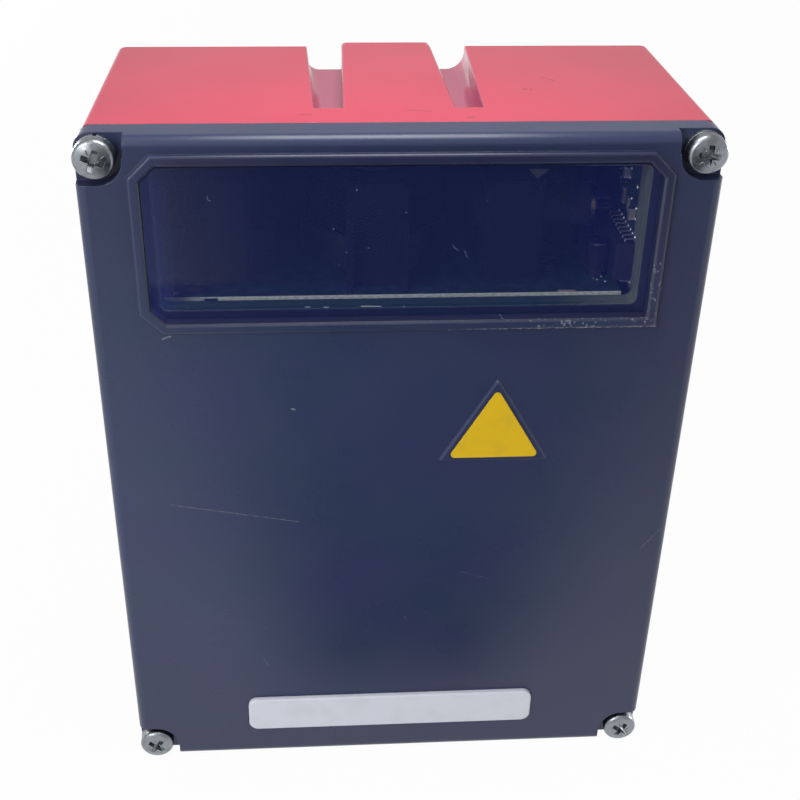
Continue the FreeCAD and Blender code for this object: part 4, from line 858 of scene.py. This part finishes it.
def make_pane_glue():
    """Crumbs of old glue in the pane's seat and along the frame's outer edges, thick at the lower right."""
    chance = random.Random(GLUE_SEED)
    shape = bmesh.new()
    for line in GLUE_LINES:
        add_glue_line(shape, chance, line)
    add_edge_glue(shape, chance)
    add_mesh("pane_glue", shape, "old_glue")


# Fibres and pale streaks on the pane, as (x, z) points, their radius and the order of their curves
FIBRES = (
    ((9.4, 135.1), (9.6, 134.2), (10.2, 134.3), (10.4, 133.7)),
    ((11.5, 133.7), (12.1, 133.4), (11.8, 132.7), (12.4, 132.2)),
    ((15.3, 143.9), (15.5, 143.7)),
    ((19.1, 119.9), (19.8, 119.6), (19.3, 119.1), (20.2, 118.9)),
    ((-36.1, 145.4), (-36.2, 144.9), (-35.9, 144.5), (-35.5, 144.4)))
STREAKS = (
    ((-18.7, 122.2), (-17.7, 122.2)), ((-15.1, 122.1), (-14.1, 122.1)), ((-7.9, 122.2), (-4.0, 122.1)))
FIBRE_RADIUS = 0.045
FIBRE_ORDER = 3

# Specks of dust on the pane, as (x, z) places and a radius
PANE_DUST = ((-8.81, 146.26, 0.14), (0.38, 141.7, 0.12), (-13.13, 138.51, 0.14), (-6.59, 134.54, 0.12),
             (-10.69, 133.7, 0.12), (0.4, 121.91, 0.16))


def add_fibres(name, lines, finish):
    """Thin fibres that lie on the pane."""
    curve = bpy.data.curves.new(name, "CURVE")
    curve.dimensions = "3D"
    curve.bevel_depth = FIBRE_RADIUS * MM
    curve.bevel_resolution = 2
    curve.use_fill_caps = True
    for points in lines:
        spline = curve.splines.new("NURBS")
        spline.points.add(len(points) - 1)
        for point, (x, z) in zip(spline.points, points):
            point.co = (*metres(x, PANE_Y - FIBRE_RADIUS, z), 1)
        spline.order_u = min(FIBRE_ORDER, len(points))
        spline.use_endpoint_u = True
    add_piece(name, curve, finish)


def make_pane_lint():
    """Fibres, pale streaks and specks of dust on the pane."""
    add_fibres("pane_lint", FIBRES, "lint")
    add_fibres("pane_streaks", STREAKS, "plate_white")
    dust = bmesh.new()
    for x, z, radius in PANE_DUST:
        add_blob(dust, (x, PANE_Y, z), (radius, radius / 2, radius))
    add_mesh("pane_dust", dust, "lint")


# Pale pointed flake on the back of the pane, a painted reflection, as (x, z) corners, its y, its thickness
# and its rounding
FLAKE_CORNERS = ((23.15, 149.25), (27.05, 149.25), (24.8, 147.4))
FLAKE_Y = -28.6
FLAKE_THICK = 0.15
FLAKE_ROUND = FLAKE_THICK / 4


def make_reflection_flake():
    """A small pale pointed flake on the back of the pane, a painted reflection."""
    shape = bmesh.new()
    corners = [shape.verts.new(metres(x, FLAKE_Y, z)) for x, z in FLAKE_CORNERS]
    face = shape.faces.new(corners)
    drawn = bmesh.ops.extrude_face_region(shape, geom=[face])["geom"]
    moved = [v for v in drawn if isinstance(v, bmesh.types.BMVert)]
    bmesh.ops.translate(shape, verts=moved, vec=metres(0, FLAKE_THICK, 0))
    bmesh.ops.recalc_face_normals(shape, faces=shape.faces[:])
    round_edges(shape, shape.edges[:], FLAKE_ROUND)
    add_mesh("painted_reflection_flake", shape, "film_grey")


def make_small_pieces():
    """All the small pieces."""
    make_reflection_flake()
    make_side_solder_and_highlights()
    make_part_ends()
    make_deck_parts()
    make_pane_glue()
    make_pane_lint()


# Floor, light and camera

def seen_directly(tree):
    """Light paths: a mask of what is seen by eye, in gloss or through glass, and the gloss alone."""
    path = add(tree, "ShaderNodeLightPath").outputs
    clear = calc(tree, "MAXIMUM", path["Is Camera Ray"], path["Is Transmission Ray"])
    return calc(tree, "MAXIMUM", clear, path["Is Glossy Ray"]), path["Is Glossy Ray"]


# Half size of the floor, and how much of what is seen of it glows
FLOOR_HALF = 4.0
FLOOR_GLOW = 0.97

# Darker strip of floor that the cover mirrors, a painted shadow seen only in gloss: where it starts and is
# full, its half width at the start, how fast it widens to the front, how far its middle leans to the right,
# and where its edge fades as a share of the half width
DIM_START = -0.035
DIM_FULL = -0.07
DIM_HALF = 0.022
DIM_WIDEN = 0.5
DIM_LEAN = 0.16
DIM_EDGE = (1.25, 0.4)


def dim_strip(tree):
    """A mask of the darker strip of floor: a painted shadow."""
    x, y, _ = split(tree, place(tree))
    ahead = calc(tree, "SUBTRACT", DIM_START, y)
    half = calc(tree, "MULTIPLY_ADD", ahead, DIM_WIDEN, DIM_HALF)
    off_middle = calc(tree, "ABSOLUTE", calc(tree, "MULTIPLY_ADD", ahead, -DIM_LEAN, x))
    away = calc(tree, "DIVIDE", off_middle, half)
    return calc(tree, "MULTIPLY", ramp(tree, away, *DIM_EDGE), ramp(tree, y, DIM_START, DIM_FULL))


def floor_white():
    """White to the eye, with a trace of shadow, and darker along a strip of painted shadow that only gloss
    shows.
    """
    material = bpy.data.materials.new("floor_white")
    material.use_nodes = True
    tree = material.node_tree
    tree.nodes.clear()
    seen, gloss = seen_directly(tree)
    # Painted shadow: the strip darkens the floor in gloss only
    strength = calc(tree, "SUBTRACT", 1.0, calc(tree, "MULTIPLY", dim_strip(tree), gloss))
    paper = add(tree, "ShaderNodeBsdfDiffuse", {"Color": PAPER})
    glow = add(tree, "ShaderNodeEmission", {"Color": WHITE, "Strength": strength})
    both = add(tree, "ShaderNodeMixShader")
    sources = (faded(tree, seen, FLOOR_GLOW), paper.outputs[0], glow.outputs[0])
    for socket, source in zip(both.inputs, sources):
        feed(tree, socket, source)
    end = add(tree, "ShaderNodeOutputMaterial")
    feed(tree, end.inputs["Surface"], both.outputs[0])
    return material


def make_floor():
    """A pale floor that the reader stands on."""
    mesh = bpy.data.meshes.new("floor")
    corners = [(-FLOOR_HALF, -FLOOR_HALF, 0), (FLOOR_HALF, -FLOOR_HALF, 0), (FLOOR_HALF, FLOOR_HALF, 0),
               (-FLOOR_HALF, FLOOR_HALF, 0)]
    mesh.from_pydata(corners, [], [(0, 1, 2, 3)])
    floor = bpy.data.objects.new("floor", mesh)
    bpy.context.scene.collection.objects.link(floor)
    mesh.materials.append(floor_white())


# Strength of the surround as a light and in gloss
WORLD_LIGHT = 0.30
WORLD_GLOSS = 0.65


def make_world():
    """An even pale surround: white to the eye, a little darker in reflections, softer as a light."""
    world = bpy.data.worlds.new("studio")
    bpy.context.scene.world = world
    world.use_nodes = True
    tree = world.node_tree
    seen, gloss = seen_directly(tree)
    bright = ramp(tree, gloss, start=0.0, end=1.0, low=1.0, high=WORLD_GLOSS)
    back = tree.nodes["Background"]
    feed(tree, back.inputs["Color"], WHITE)
    strength = ramp(tree, seen, start=0.0, end=1.0, low=WORLD_LIGHT, high=bright)
    feed(tree, back.inputs["Strength"], strength)


# Soft lamps: place, aim, size and power in watts
LAMPS = {
    "softbox_above": ((0.0, -0.03, 0.27), (0, -0.03, 0.15), 0.08, 0.15),
    "softbox_wide": ((-0.2, -0.25, 0.8), (0, 0, 0.08), 0.6, 0.6),
    "softbox_front": ((-0.35, -0.43, 0.36), (0, -0.03, 0.10), 0.3, 1.85),
    "softbox_right": ((0.75, 0.25, 0.10), (0, 0, 0.08), 0.2, 3.0),
    "softbox_rear": ((-0.55, 0.70, 0.10), (0, 0.03, 0.08), 0.2, 4.0),
}


def make_lamp(name, where, target, size, power):
    """A square soft lamp aimed at a point."""
    lamp = bpy.data.lights.new(name, "AREA")
    lamp.size = size
    lamp.energy = power
    made = bpy.data.objects.new(name, lamp)
    made.location = where
    made.rotation_euler = (Vector(target) - Vector(where)).to_track_quat("-Z", "Y").to_euler()
    made.visible_camera = False
    bpy.context.scene.collection.objects.link(made)


def make_lights():
    """The surround and the soft lamps."""
    make_world()
    for name, values in LAMPS.items():
        make_lamp(name, *values)


def make_camera():
    """The camera of the main view."""
    data = bpy.data.cameras.new("camera")
    data.lens = CAMERA_LENS
    data.sensor_width = CAMERA_SENSOR
    data.shift_x, data.shift_y = CAMERA_SHIFT
    data.clip_start = CAMERA_NEAREST
    camera = bpy.data.objects.new("camera", data)
    camera.location = CAMERA_PLACE
    camera.rotation_euler = [math.radians(a) for a in CAMERA_TURN]
    bpy.context.scene.collection.objects.link(camera)
    bpy.context.scene.camera = camera


make_camera()
make_shared_effects()
FINISHES = make_finishes()
dress_nodes()
make_small_pieces()
make_floor()
make_lights()
bpy.context.scene.view_settings.view_transform = "Standard"
